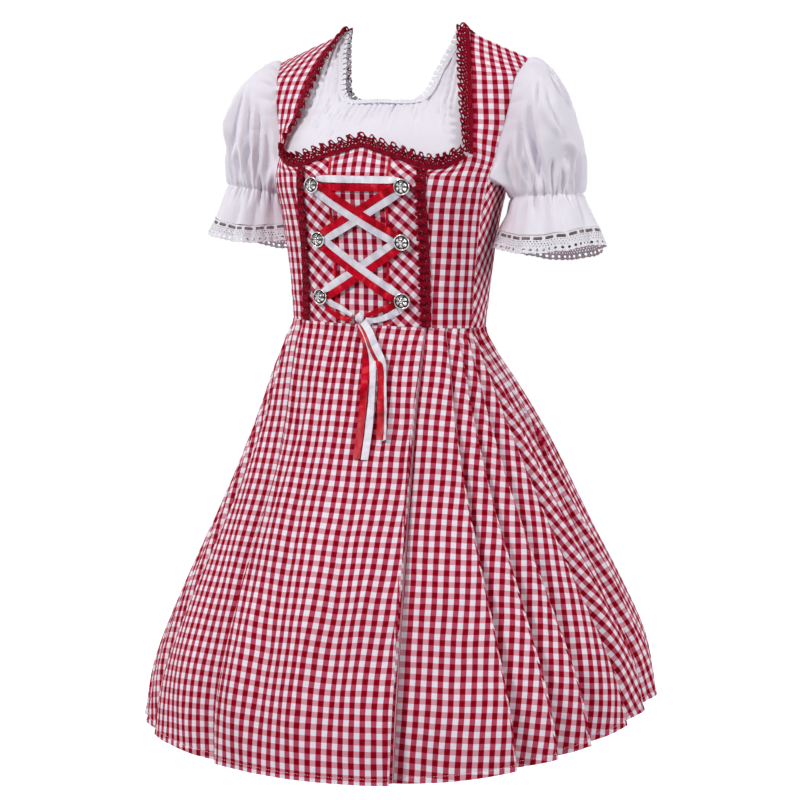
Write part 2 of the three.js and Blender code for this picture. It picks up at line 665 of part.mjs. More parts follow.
function sleeve() {
  const turns = Array.from({ length: SLEEVE_COLUMNS }, (_, k) => (2 * Math.PI * k) / SLEEVE_COLUMNS);
  const rows = Array.from({ length: SLEEVE_ROWS + 2 + FLOUNCE_ROWS.length }, () => []);
  for (const turn of turns) {
    const share = turn / (2 * Math.PI);
    const edge = armhole.getPointAt(share);
    const out = armholeOut.getPoint(share).normalize();
    const off = armholeOff.getPoint(share).normalize();
    const top = Math.max(0, Math.cos(turn)) ** 2;
    const under = Math.max(0, -Math.cos(turn)) ** 2;
    const blend = (key) =>
      PUFF.top[key] * top + PUFF.under[key] * under + PUFF.side[key] * (1 - top - under);
    rows[0].push(edge.clone().addScaledVector(off, SLEEVE_OFF.seam).addScaledVector(out, -BLOUSE_IN));
    const start = edge.clone().addScaledVector(off, SLEEVE_OFF.puff).addScaledVector(out, SLEEVE_OFF.rise);
    const fore = Math.sin(turn) * Math.max(0, Math.cos(turn));
    const leave = off.clone().multiplyScalar(blend('along'));
    leave.addScaledVector(out, blend('out') + PUFF_FORE.out * fore);
    leave.multiplyScalar(blend('leave') * (1 + PUFF_FORE.leave * fore));
    const end = cuffPoint(ELASTIC, CUFF, 0, turn);
    const arrive = new Vector3(-PUFF_IN * Math.cos(turn), PUFF_IN * Math.sin(turn), -1);
    arrive.multiplyScalar(blend('arrive'));
    for (let i = 0; i <= SLEEVE_ROWS; i += 1) {
      const weights = hermite(i / SLEEVE_ROWS);
      const point = new Vector3();
      [start, leave, end, arrive].forEach((part, k) => point.addScaledVector(part, weights[k]));
      rows[i + 1].push(point);
    }
    for (const [i, t] of FLOUNCE_ROWS.entries()) {
      rows[SLEEVE_ROWS + 2 + i].push(cuffPoint(ELASTIC, CUFF, t, turn));
    }
  }
  return wall(rows, CLOTH, { loop: true });
}

function cuffLace() {
  const turns = Array.from({ length: SLEEVE_COLUMNS }, (_, k) => (2 * Math.PI * k) / SLEEVE_COLUMNS);
  const rows = [0.03, 1].map((t) => turns.map((turn) => cuffPoint(CUFF, LACE_EDGE, t, turn)));
  return wall(rows, LACE_WALL, { loop: true });
}

addPair('sleeve', sleeve(), 'cotton');
addPair('cuff_lace', cuffLace(), 'whiteLace');

// ---- Lace at the necks

const vector = (point) => new Vector3(...point);
const flipped = (v) => v.clone().setX(-v.x);

// The outward direction at each row of a table's neck edge. The last row is on the shoulder.
function edgeNormals(table, key, turn) {
  return table.map((row, i) => {
    if (i === table.length - 1) return new Vector3(0.2, 0, 0.98);
    const across = vector(row.armhole).sub(vector(row[key]));
    const up = vector(table[i + 1][key]).sub(vector(table[Math.max(i - 1, 0)][key]));
    return across.cross(up).multiplyScalar(turn).normalize();
  });
}

// The edge of one side's strap or neck opening, from the front over the shoulder to the back.
function shoulderEdge(key, first, last) {
  const front = { at: CHEST.slice(first).map((row) => vector(row[key])), out: edgeNormals(CHEST, key, 1) };
  const back = { at: BLADES.slice(last, -1).map((row) => vector(row[key])), out: edgeNormals(BLADES, key, -1) };
  return {
    at: [...front.at, ...back.at.reverse()],
    out: [...front.out.slice(first), ...back.out.slice(last, -1).reverse()],
  };
}

// Lace along an edge. Its columns run along the edge, and its two rows stand off the cloth below the edge
// and reach past it. A ruffle swings in and out from column to column.
function edgeLace({ at, out }, size, loop = false) {
  const place = new THREE.CatmullRomCurve3(at, loop);
  const away = new THREE.CatmullRomCurve3(out, loop);
  const count = 2 * Math.round(place.getLength() / size.period);
  const rows = [[], []];
  for (let k = 0; k < (loop ? count : count + 1); k += 1) {
    const point = place.getPoint(k / count);
    const outward = away.getPoint(k / count).normalize();
    const beyond = outward.clone().cross(place.getTangent(k / count)).normalize();
    const swing = k % 2 ? size.swing : -size.swing;
    const free = size.base + size.stand + swing;
    rows[0].push(point.clone().addScaledVector(beyond, -size.down).addScaledVector(outward, size.base));
    rows[1].push(point.addScaledVector(beyond, size.up).addScaledVector(outward, free));
  }
  return wall(rows, size.wall, { loop });
}

function neckFront() {
  const places = spread(-NECK_RUFFLE_END, NECK_RUFFLE_END, 12);
  const outward = (x) => normalOf(ring, necklineAt(x), angleAt(necklineAt(x), x));
  return { at: places.map((x) => onFront(x, necklineAt(x))), out: places.map(outward) };
}

function neckBack() {
  const half = upperRow(BLADES[NECK_ROW], [BACK_RUFFLE_END, 2, 2.33, 2.67, 3]);
  const out = [0.35, 0.3, 0.15, 0.05, 0].map((x) => new Vector3(x, 1, 0.1));
  const both = (list) => [...list, ...list.slice(0, -1).reverse().map(flipped)];
  return { at: both(half), out: both(out) };
}

function blouseNeck() {
  const low = BLADES[NECK_ROW];
  const side = shoulderEdge('neck', 3, NECK_ROW);
  const back = vector(low.centre).add(BLOUSE_BACK_RISE);
  side.at[side.at.length - 1].add(BLOUSE_BACK_RISE);
  const middle = vector(CHEST[3].centre);
  const join = (first, half, last) => [first, ...half, last, ...half.map(flipped).reverse()];
  const out = join(new Vector3(0, -0.7, 0.7), side.out, new Vector3(0, 1, 0.1));
  return { at: join(middle, side.at, back), out };
}

add('neck_ruffle_front', edgeLace(neckFront(), RUFFLE), 'redLace');
addPair('neck_ruffle', edgeLace(shoulderEdge('strap', 0, NECK_ROW), STRAP_RUFFLE), 'redLace');
add('neck_ruffle_back', edgeLace(neckBack(), RUFFLE), 'redLace');
add('blouse_neck_lace', edgeLace(blouseNeck(), NECK_LACE, true), 'whiteLace');

// ---- Piping, lace strips, buttons and ribbons on the bodice

// A solid of a constant section along frames, each with its place and its directions along and out.
function swept(frames, section) {
  const places = [];
  for (const { at, side, out } of frames) {
    for (const [x, y] of section) {
      places.push(...at.clone().addScaledVector(side, x).addScaledVector(out, y).toArray());
    }
  }
  const n = section.length;
  const faces = [];
  for (let i = 0; i < frames.length - 1; i += 1) {
    for (let k = 0; k < n; k += 1) {
      const [a, b] = [i * n + k, i * n + ((k + 1) % n)];
      faces.push(a, b, b + n, a, b + n, a + n);
    }
  }
  const end = (frames.length - 1) * n;
  for (let k = 1; k < n - 1; k += 1) {
    faces.push(0, k + 1, k);
    faces.push(end, end + k, end + k + 1);
  }
  return solidOf(places, faces);
}

// Frames along points given by place across, height and distance off the dress.
function framesOn(points) {
  const at = points.map(([x, z, out]) => lifted(z, angleAt(z, x), out));
  return at.map((place, i) => {
    const [x, z] = points[i];
    const out = normalOf(ring, z, angleAt(z, x));
    const along = at[Math.min(i + 1, at.length - 1)].clone().sub(at[Math.max(i - 1, 0)]);
    const side = along.cross(out).normalize();
    return { at: place, side, out };
  });
}

const flat = (width, thickness) => [
  [-width / 2, 0],
  [-width / 2, thickness],
  [width / 2, thickness],
  [width / 2, 0],
];

function piping() {
  const { width, height, top } = PIPING;
  const points = [WAIST + 0.5, ...LEVELS.slice(1), top].map((z) => [pipingAt(z), z, STACK]);
  const section = [
    [-width / 2, 0],
    [-width * 0.4, height * 0.6],
    [0, height],
    [width * 0.4, height * 0.6],
    [width / 2, 0],
  ];
  return swept(framesOn(points), section);
}

function laceStrip() {
  const out = STACK + STRIP.wall;
  const rows = [WAIST + 0.5, ...LEVELS.slice(1), STRIP.top].map((z) =>
    [STRIP.from, STRIP.to].map((x) => lifted(z, angleAt(z, x), out)),
  );
  return wall(rows, STRIP.wall);
}

addPair('piping', piping(), 'redSatin');
addPair('lace_strip', laceStrip(), 'redLace');

// A domed button on its shank, whose axis stands out of the bodice.
function button({ x, z }) {
  const { radius, under, rim, lip, height, shank } = BUTTON;
  const edge = [[0, 0], [shank, 0], [shank, under], [radius, under], [radius, under + rim]];
  const dome = spread(0, Math.PI / 2, 3).slice(0, -1).map((turn) => [
    (radius - lip) * Math.cos(turn),
    under + rim + (height - rim) * Math.sin(turn),
  ]);
  const profile = [...edge, ...dome, [0, under + height]].map(([r, up]) => new THREE.Vector2(r, up));
  const geometry = new THREE.LatheGeometry(profile, 16);
  const angle = angleAt(z, x);
  const out = normalOf(ring, z, angle);
  const turn = new THREE.Quaternion().setFromUnitVectors(new Vector3(0, 1, 0), out);
  geometry.applyQuaternion(turn);
  const seat = lifted(z, angle, STACK);
  geometry.translate(seat.x, seat.y, seat.z);
  return geometry;
}

for (const place of BUTTONS) {
  add(`button_left_${place.row}`, button(place), 'silver');
  add(`button_right_${place.row}`, button({ ...place, x: -place.x }), 'silver');
}

// One ribbon of a pair across the bodice, on a line between two places, shifted to its side of the line.
function strand([x0, z0], [x1, z1], shift, layer) {
  const way = new THREE.Vector2(x1 - x0, z1 - z0);
  const length = way.length();
  way.normalize();
  const points = spread(RIBBON.start / length, 1 - RIBBON.start / length, 8).map((t) => [
    mix(x0, x1, t) - way.y * shift,
    mix(z0, z1, t) + way.x * shift,
    RIBBON.base + RIBBON.layer * layer,
  ]);
  return swept(framesOn(points), flat(RIBBON.width, RIBBON.wall));
}

const SHIFT = (RIBBON.width + RIBBON.gap) / 2;
for (const { name, right, left, rise, layer, upper } of CROSSINGS) {
  const [low, high] = [BUTTONS[right - 1], BUTTONS[left - 1]];
  const from = [-low.x, low.z + rise];
  const to = [high.x, high.z + rise];
  const lower = upper === 'red' ? 'white' : 'red';
  add(`ribbon_${name}_${upper}`, strand(from, to, SHIFT, layer), `${upper}Satin`);
  add(`ribbon_${name}_${lower}`, strand(from, to, -SHIFT, layer), `${lower}Satin`);
}

// A ribbon that narrows towards its end.
function loopRibbon(points, side) {
  const frames = framesOn(points.map(([x, z, out]) => [side * x, z, out]));
  const width = spread(LOOP_WIDTH.start, LOOP_WIDTH.end, frames.length - 1);
  frames.forEach((frame, i) => frame.side.multiplyScalar(width[i]));
  return swept(frames, flat(RIBBON.width, RIBBON.wall));
}

add('ribbon_loop_left_red', loopRibbon(LOOPS[0], 1), 'redSatin');
add('ribbon_loop_left_white', loopRibbon(LOOPS[1], 1), 'whiteSatin');
add('ribbon_loop_right_white', loopRibbon(LOOPS[0], -1), 'whiteSatin');
add('ribbon_loop_right_red', loopRibbon(LOOPS[1], -1), 'redSatin');

function knot() {
  const geometry = new THREE.SphereGeometry(1, 14, 10);
  geometry.scale(KNOT.wide, KNOT.deep, KNOT.high);
  const place = lifted(KNOT.z, angleAt(KNOT.z, KNOT.x), KNOT.out);
  geometry.translate(place.x, place.y, place.z);
  return geometry;
}

add('ribbon_knot', knot(), 'whiteSatin');

for (const [name, points] of Object.entries(TAILS)) {
  const colour = name.split('_')[1];
  add(`ribbon_end_${name}`, swept(framesOn(points), flat(RIBBON.width, TAIL_WALL)), `${colour}Satin`);
}

export default costume;
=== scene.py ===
"""The looks of a filled-out dirndl: a gingham dress with a laced bodice and a pleated skirt, over a blouse.

Tables and shapes are in millimetres in the frame's axes: +Z up, -Y the front, +X the wearer's left. A piece
of cloth is a thin shell on its solid's form, and its UV map "Cloth" holds the cloth's own threads in metres.
"""

import math

import bpy
import numpy as np
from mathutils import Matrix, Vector


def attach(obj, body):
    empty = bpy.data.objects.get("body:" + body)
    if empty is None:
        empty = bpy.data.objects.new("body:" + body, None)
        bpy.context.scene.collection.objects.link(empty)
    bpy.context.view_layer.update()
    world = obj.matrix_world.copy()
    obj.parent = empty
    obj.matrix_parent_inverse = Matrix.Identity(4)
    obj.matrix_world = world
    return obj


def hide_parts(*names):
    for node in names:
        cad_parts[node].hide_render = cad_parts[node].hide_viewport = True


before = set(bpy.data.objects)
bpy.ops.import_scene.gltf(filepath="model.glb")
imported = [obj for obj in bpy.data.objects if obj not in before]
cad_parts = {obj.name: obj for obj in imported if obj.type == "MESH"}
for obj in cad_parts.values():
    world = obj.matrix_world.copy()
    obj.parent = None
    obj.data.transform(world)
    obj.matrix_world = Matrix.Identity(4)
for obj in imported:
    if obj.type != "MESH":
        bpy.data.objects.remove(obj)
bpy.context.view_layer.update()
MM = 0.001
SIDES = ((1, "left"), (-1, "right"))  # the wearer's, as signs of X

# ---- Sizes shared with the part

WAIST, HEM = -396.0, -934.0
BLOUSE_HEM = -276.0
BLOUSE_IN = 2.5  # how far the blouse lies inside the form
TILT = 0.04  # how much lower the wearer's left side hangs, for each mm across
TILT_FADE = 170.0  # how far below the waist the tilt fades out
PIPING_TOP, PIPING_WAIST = 43.0, 36.0  # the pipings' distances from the centre
STRIP_SEAM = 94.0  # the distance from the centre of the seam behind each lace strip
# The angles of the side panel's two seams and of the blouse's one, from straight ahead
SIDE_FRONT, SIDE_BACK, BLOUSE_SIDE = (math.radians(a) for a in (75, 114, 95))
STRAP_SHARE = 0.86  # how far out the line below the strap's inner edge is, as a share of the half width
BACK_CORNER = 124.0  # the distance from the centre of the back neckline's corner
CLOTH = 1.0  # the cloth's thickness
SEAM = 0.15  # the gap between two pieces

# The form: at each height its half width, its front, where it is widest, its back, and how square it is
RING_COLUMNS = ("z", "half", "front", "wide", "back", "square")
RINGS = (
    (-940, 355, -364, -9, 346, 2.0),
    (-860, 341, -348, -7, 334, 2.0),
    (-773, 308, -310, -7, 295, 2.0),
    (-685, 268, -264, -9, 246, 2.0),
    (-597, 229, -214, -12, 196, 2.05),
    (-510, 189, -176, -22, 132, 2.15),
    (-466, 168, -161, -33, 95, 2.25),
    (-422, 144, -143, -45, 57, 2.45),
    (-396, 132.5, -131, -47, 43, 2.6),
    (-363, 134, -130, -47, 49, 2.7),
    (-320, 138, -131, -48, 59, 2.7),
    (-286, 142, -134, -49, 67, 2.7),
    (-250, 147, -139, -49, 75, 2.7),
    (-216, 154, -143, -48, 82, 2.7),
    (-190, 159, -137, -46, 85, 2.6),
    (-160, 161, -127, -44, 86, 2.6),
)
# Heights of the bodice's rows, and the front neckline: place across and height
LEVELS = (WAIST, -356.0, -316.0, BLOUSE_HEM, -246.0, -222.0, -202.0)
NECKLINE = ((0, -164), (43, -176), (70, -184), (94, -190), (110, -189), (124, -183), (138, -172))

# Rows of the upper front and back: armhole, inner edge of the strap, blouse's neck, and below it the centre
CHEST = (
    ((158, -60, -178), (137, -92, -172), (62, -119, -166), (0, -124, -164)),
    ((162, -56, -155), (133, -84, -150), (61, -103, -140), (0, -110, -140)),
    ((168, -50, -128), (128, -70, -127), (60, -83, -117), (0, -91, -118)),
    ((173, -45, -99), (123, -60, -99), (59, -62.5, -98), (0, -75, -103)),
    ((177, -36, -68), (116, -45, -66), (76, -37, -55)),
    ((181, -21, -52), (105, -23, -31), (85, -17, -26)),
    ((185, -4, -41), (94, 4, -3), (89.5, 4, -1.5)),
)
BLADES = (
    ((159, 24, -178), (124, 66, -172), (84, 81, -171), (0, 86, -170)),
    ((164, 44, -146), (124, 74, -138), (84, 84, -137), (0, 87, -136)),
    ((168, 53, -120), (127, 71, -106), (108, 77, -107), (0, 84, -112)),
    ((172, 54, -98), (126, 63, -78), (119, 65, -76)),
    ((177, 44, -74), (119, 46, -48), (112, 48, -45)),
    ((182, 20, -54), (107, 25, -22), (101, 26, -19)),
    ((185, -4, -41), (94, 4, -3), (89.5, 4, -1.5)),
)
NECK_ROW = 2  # the row of the blades that both back necks follow
BLOUSE_BACK_RISE = np.array((0.0, -3, 14))  # from that row to the blouse's neck

# Edges of the skirt's folds, in degrees from its centre line, at the waist and at the hem
FOLDS = (
    (39.3, 19.3), (52, 45), (61, 54.5), (69, 63.5), (77, 76.5), (84, 86), (97, 99), (110, 113), (123, 127),
    (136, 141), (149, 155), (164, 169),
)
SIDE_SEAM = (90, 91)
FRONT_FOLDS = 6  # how many folds of each side are in the front piece
PANEL_TURN = (-2.4, 3.4)  # how far the folds are turned to the wearer's left, at the waist and the hem
FOLD_DEPTH = (2.2, 24)  # at the waist and the hem
FOLD_RETURN = (1.1, 0.9)  # the degrees behind a fold's edge where the next face starts
HEM_LIFT, LIFT_AT, LIFT_REACH = 42, 112, 90  # how much the hem lifts, at what angle, how far round

# Sleeve rings: centre, half width and depth, how much higher the outer side and the back are, and the wave
SLEEVE_KEYS = ("x", "y", "z", "across", "along", "outer", "back", "wave")
ELASTIC = dict(zip(SLEEVE_KEYS, (213, -12, -221, 45, 45, 5, 0, 0)))
CUFF = dict(zip(SLEEVE_KEYS, (217, -13, -269, 65, 60, 4, -4, 3)))
LACE_EDGE = dict(zip(SLEEVE_KEYS, (218, -14, -293, 74, 68, 4, -4, 4)))
CUFF_SIDES_UP = 14  # how much higher the cuff is at its outer and inner sides than in front and behind
CUFF_WAVES = 7
# How the puff leaves the armhole: off its edge and out of the cloth, and how strongly it leaves and arrives
PUFF_KEYS = ("along", "out", "leave", "arrive")
PUFF_TOP = dict(zip(PUFF_KEYS, (0.56, 0.75, 96, 224)))
PUFF_SIDE = dict(zip(PUFF_KEYS, (0.75, 0.65, 170, 130)))
PUFF_UNDER = dict(zip(PUFF_KEYS, (0.1, 0.95, 40, 30)))
PUFF_FORE = {"out": 0.88, "leave": 0.64}  # how much fuller the cap is in front than behind
PUFF_IN = 0.35  # how far it comes in as it arrives at the elastic
PUFF_SHORT = 0.8  # how much of its fullness the puff loses at the armhole's lower corners
PUFF_SWELL = 0.3  # how much it gains in front, above them
# The sleeve's sewn edge and the start of its puff: off the armhole, and below and above its cloth
SLEEVE_SEAM_OFF, SEAM_DEPTH, PUFF_OFF, PUFF_RISE = 0.4, 1.4, 1.8, 0.4

# ---- Curves


def mix(a, b, t):
    return a + (b - a) * t


def smooth(t):
    t = np.clip(t, 0, 1)
    return t * t * (3 - 2 * t)


def bell(x, width):
    return np.exp(-((x / width) ** 2))


def unit(v):
    return v / np.maximum(np.linalg.norm(v, axis=-1, keepdims=True), 1e-9)


def stacked(*values):
    """Values side by side on a last axis."""
    return np.stack(np.broadcast_arrays(*values), -1)


def once_round(count):
    return np.arange(count) * 2 * math.pi / count


def hermite(start, end, leave, arrive, t):
    """From one point to another, with the slopes where it leaves and arrives."""
    go = t * t * (3 - 2 * t)
    return (1 - go) * start + go * end + t * (1 - t) ** 2 * leave + t * t * (t - 1) * arrive


def column(table, k, at):
    """A table's column as a smooth curve of its first column, which doesn't overshoot its rows."""
    x, y = np.array(table, float)[:, [0, k]].T
    step = np.diff(x)
    rise = np.diff(y) / step
    before, after = rise[:-1], rise[1:]
    middle = (before * step[1:] + after * step[:-1]) / (step[:-1] + step[1:])
    slope = np.concatenate([rise[:1], np.where(before * after <= 0, 0, middle), rise[-1:]])
    i = np.clip(np.searchsorted(x, at) - 1, 0, len(x) - 2)
    return hermite(y[i], y[i + 1], slope[i] * step[i], slope[i + 1] * step[i], (at - x[i]) / step[i])


def section(z, angle):
    """Points of the dress's form at heights and angles from straight ahead."""
    z, angle = np.broadcast_arrays(np.asarray(z, float), np.asarray(angle, float))
    half, front, wide, back, square = (column(RINGS, k, z) for k in range(1, len(RING_COLUMNS)))
    side, ahead = np.sin(angle), np.cos(angle)
    scale = (np.abs(side) ** square + np.abs(ahead) ** square) ** (1 / square)
    depth = np.where(ahead > 0, wide - front, back - wide)
    return stacked(half * side / scale, wide - depth * ahead / scale, z)


def outward(z, angle):
    """Directions out of the form, from its slopes over a short way round and up."""
    turn, rise = 0.002, 1
    across = section(z, angle + turn) - section(z, angle - turn)
    up = section(z + rise, angle) - section(z - rise, angle)
    return unit(np.cross(across, up))


def ring(z, angle, out=0.0):
    """Points that lie a distance off the form."""
    return section(z, angle) + outward(z, angle) * np.asarray(out)[..., None]


HALVINGS = 40


def angle_at(z, x, behind=False):
    """The angle of the form's point that is x out from the centre at a height, found by halving."""
    z, x = np.broadcast_arrays(np.asarray(z, float), np.asarray(x, float))
    low, high = np.zeros(z.shape), np.full(z.shape, math.pi / 2)
    for _ in range(HALVINGS):
        middle = (low + high) / 2
        short = section(z, middle)[..., 0] < np.abs(x)
        low, high = np.where(short, middle, low), np.where(short, high, middle)
    return np.sign(x) * (math.pi - low if behind else low)


def on_front(x, z, out=0.0):
    return ring(z, angle_at(z, x), out)


def neckline(x):
    return column(NECKLINE, 1, np.minimum(np.abs(x), NECKLINE[-1][0]))


def piping_at(z):
    return mix(PIPING_WAIST, PIPING_TOP, (z - WAIST) / (neckline(PIPING_TOP) - WAIST))


def strap_at(z):
    return STRAP_SHARE * column(RINGS, 1, z)


def curve(points, spans, loop=False):
    """Places on a smooth curve through points, counted in points."""
    points, spans = np.asarray(points, float), np.asarray(spans, float)
    if loop:
        spans = spans % len(points)
        first = np.minimum(spans.astype(int), len(points) - 1)
        points = np.concatenate([points[-1:], points, points[:2]])
    else:
        first = np.clip(spans.astype(int), 0, len(points) - 2)
        points = np.concatenate([2 * points[:1] - points[1:2], points, 2 * points[-1:] - points[-2:-1]])
    t = (spans - first)[:, None]
    p0, p1, p2, p3 = (points[first + k] for k in range(4))

    def span(a, b):
        return np.maximum(np.sqrt(np.linalg.norm(b - a, axis=-1, keepdims=True)), 1e-4)

    d0, d1, d2 = span(p0, p1), span(p1, p2), span(p2, p3)
    start = ((p1 - p0) / d0 - (p2 - p0) / (d0 + d1) + (p2 - p1) / d1) * d1
    end = ((p2 - p1) / d1 - (p3 - p1) / (d1 + d2) + (p3 - p2) / d2) * d1
    return hermite(p1, p2, start, end, t)


CURVE_STEPS = 1201  # how finely a curve's length is measured


def even_spans(points, count, loop=False):
    """Spans at equal distances along a smooth curve, and the curve's length."""
    fine = np.linspace(0, len(points) - (0 if loop else 1), CURVE_STEPS)
    steps = np.linalg.norm(np.diff(curve(points, fine, loop), axis=0), axis=1)
    far = np.concatenate([[0], np.cumsum(steps)])
    return np.interp(np.linspace(0, far[-1], count), far, fine), far[-1]


def runs(held):
    """Stretches of neighbouring indexes."""
    return [run for run in np.split(held, np.flatnonzero(np.diff(held) > 1) + 1) if len(run)]


def refined(rows, times):
    """A grid with more rows on the same smooth form. Its points may be missing where it has a hole."""
    spans = np.linspace(0, len(rows) - 1, (len(rows) - 1) * times + 1)
    fine = np.full((len(spans),) + rows.shape[1:], np.nan)
    for j in range(rows.shape[1]):
        for run in runs(np.flatnonzero(~np.isnan(rows[:, j, 0]))):
            inside = (spans > run[0] - 1e-6) & (spans < run[-1] + 1e-6)
            points = rows[run, j]
            fine[inside, j] = points[0] if len(run) == 1 else curve(points, spans[inside] - run[0])
    return fine


def refined_both(rows, up, across):
    return refined(refined(rows, up).swapaxes(0, 1), across).swapaxes(0, 1)


def gathered_rows(rows):
    """Rows of points as a grid, where None is a missing point."""
    return np.array([[(np.nan,) * 3 if p is None else tuple(p) for p in row] for row in rows], float)


def flip(points):
    return np.asarray(points, float) * (-1, 1, 1)


# ---- Shells of cloth

RIDGE = (0.39, 0, 0.92)  # outward at the left shoulder seam
CRISP = 50  # the angle in degrees from which an edge is shaded as sharp


def normals(grid, loop=False, ridge=False):
    """Outward directions of a grid whose rows run up and whose columns run to the wearer's left in front."""

    def slope(axis):
        ahead, behind = np.roll(grid, -1, axis), np.roll(grid, 1, axis)
        if axis == 0:
            ahead[-1], behind[0] = np.nan, np.nan
        elif not loop:
            ahead[:, -1], behind[:, 0] = np.nan, np.nan
        return np.where(np.isnan(ahead), grid, ahead) - np.where(np.isnan(behind), grid, behind)

    away = unit(np.cross(slope(1), slope(0)))
    if ridge:
        side = np.sign(grid[-1, :, 0])
        away[-1] = stacked(side * RIDGE[0], 0, RIDGE[2])
    return away


def pushed(grid, out, loop=False, ridge=False):
    return grid + normals(grid, loop, ridge) * np.asarray(out)[..., None]


def trimmed(grid):
    """The grid with its edges drawn in by half a seam's gap."""
    copy = grid.copy()
    for axis in (0, 1):
        for way in (1, -1):
            beyond, inward = np.roll(grid, -way, axis), np.roll(grid, way, axis)
            last = [slice(None), slice(None)]
            last[axis] = -1 if way == 1 else 0
            beyond[tuple(last)] = np.nan
            open_side = np.isnan(beyond[..., 0]) & ~np.isnan(grid[..., 0]) & ~np.isnan(inward[..., 0])
            copy[open_side] += unit(inward - grid)[open_side] * SEAM / 2
    return copy


def from_edge(grid, reach):
    """How many cells a point is from the grid's edge, as a share of a reach in cells."""
    inside = ~np.isnan(grid[..., 0])
    depth = np.zeros(inside.shape)
    for _ in range(reach):
        wide = np.pad(inside, 1)
        inside = wide[1:-1, 1:-1] & wide[:-2, 1:-1] & wide[2:, 1:-1] & wide[1:-1, :-2] & wide[1:-1, 2:]
        depth += inside
    return depth / reach


def closed(grid):
    """A grid with its first column again after its last."""
    return np.concatenate([grid, grid[:, :1]], 1)


def cells(grid):
    """The four corners of each of a grid's cells, in order round it."""
    return np.stack([grid[:-1, :-1], grid[:-1, 1:], grid[1:, 1:], grid[1:, :-1]], 2)


def threads(grid, start, row=0, loop=False):
    """Cloth coordinates in mm: across from a column, and up from a row."""
    if loop:
        grid = closed(grid)
    steps = np.nan_to_num(np.linalg.norm(np.diff(grid, axis=1), axis=-1))
    across = np.pad(np.cumsum(steps, 1), ((0, 0), (1, 0)))
    steps = np.nan_to_num(np.linalg.norm(np.diff(grid, axis=0), axis=-1))
    up = np.pad(np.cumsum(steps, 0), ((1, 0), (0, 0)))[:, start]
    across = across - across[:, start : start + 1]
    return stacked(across, (up - up[row])[:, None])


def turned(cloth, degrees):
    a = math.radians(degrees)
    u, v = cloth[..., 0], cloth[..., 1]
    return stacked(u * math.cos(a) - v * math.sin(a), u * math.sin(a) + v * math.cos(a))


def settled(points):
    """The wearer's left side hangs lower, fading out below the waist."""
    fade = smooth((points[..., 2] - (WAIST - TILT_FADE)) / TILT_FADE)
    points = points.copy()
    points[..., 2] -= TILT * fade * points[..., 0]
    return points


def in_scene(name, data):
    """A new object in the scene."""
    made = bpy.data.objects.new(name, data)
    bpy.context.scene.collection.objects.link(made)
    return made


def mesh_object(name, points, faces, corner_uv, material, slot=None):
    """An object with a smooth mesh in metres, and cloth coordinates at the corners of its faces."""
    mesh = bpy.data.meshes.new(name)
    faces = np.asarray(faces, np.int32)
    mesh.vertices.add(len(points))
    mesh.vertices.foreach_set("co", (settled(points) * MM).astype(np.float32).ravel())
    mesh.loops.add(faces.size)
    mesh.loops.foreach_set("vertex_index", faces.ravel())
    mesh.polygons.add(len(faces))
    mesh.polygons.foreach_set("loop_start", np.arange(0, faces.size, faces.shape[1], dtype=np.int32))
    mesh.polygons.foreach_set("use_smooth", np.ones(len(faces), bool))
    layer = mesh.uv_layers.new(name="Cloth")
    layer.data.foreach_set("uv", (np.asarray(corner_uv) * MM).astype(np.float32).ravel())
    mesh.update(calc_edges=True)
    mesh.set_sharp_from_angle(angle=math.radians(CRISP))
    mesh.materials.append(MATERIALS[material])
    made = in_scene(name, mesh)
    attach(made, "root")
    return made


PIECES = {}  # each dressed piece, by the name of its CAD node


def stand_in(name, *mesh):
    """A mesh object that stands for the CAD node of its name, where there is one."""
    made = PIECES[name] = mesh_object(f"{name}_look", *mesh)
    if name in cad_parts:
        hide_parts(name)
    return made


def rim_of(quads, corner_uv, total):
    """The edges of a patch of quads, each with the cloth coordinates of its two ends."""
    edges = np.concatenate([quads[:, [k, (k + 1) % 4]] for k in range(4)]).astype(np.int64)
    edge_uv = np.concatenate([corner_uv[:, [k, (k + 1) % 4]] for k in range(4)])
    rim = ~np.isin(edges[:, 0] * total + edges[:, 1], edges[:, 1] * total + edges[:, 0])
    return edges[rim], edge_uv[rim]


def shell(name, grid, cloth, material, wall=CLOTH, loop=False, keep=None, ridge=False, soften=0, slot=None):
    """A closed thin shell whose outer face is a grid, or the cells of it to keep.

    Its free edges are softened a number of times."""
    rows, columns = grid.shape[:2]
    away = normals(grid, loop, ridge).reshape(-1, 3)
    index = np.arange(rows * columns).reshape(rows, columns)
    quads, corner_uv = cells(closed(index) if loop else index), cells(cloth)
    held = ~np.isnan(grid.reshape(-1, 3)[quads][..., 0]).any(-1)
    if keep is not None:
        held &= keep
    quads, corner_uv = quads[held], corner_uv[held]
    total = rows * columns
    outer = grid.reshape(-1, 3).copy()
    edges, edge_uv = rim_of(quads, corner_uv, total)
    for _ in range(soften):
        near, count = np.zeros_like(outer), np.zeros((total, 1))
        for a, b in (edges.T, edges.T[::-1]):
            np.add.at(near, a, outer[b])
            np.add.at(count, a, 1)
        rim = count[:, 0] > 0
        outer[rim] = mix(outer[rim], near[rim] / count[rim], 0.5)
    a, b = edges.T
    ua, ub = edge_uv[:, 0], edge_uv[:, 1]
    faces = np.concatenate([quads, quads[:, ::-1] + total, np.stack([b, a, a + total, b + total], -1)])
    faces_uv = np.concatenate([corner_uv, corner_uv[:, ::-1], np.stack([ub, ua, ua, ub], -2)])
    points = np.concatenate([outer, outer - away * wall])
    used, compact = np.unique(faces.ravel(), return_inverse=True)
    return stand_in(name, points[used], compact.reshape(faces.shape), faces_uv, material, slot)


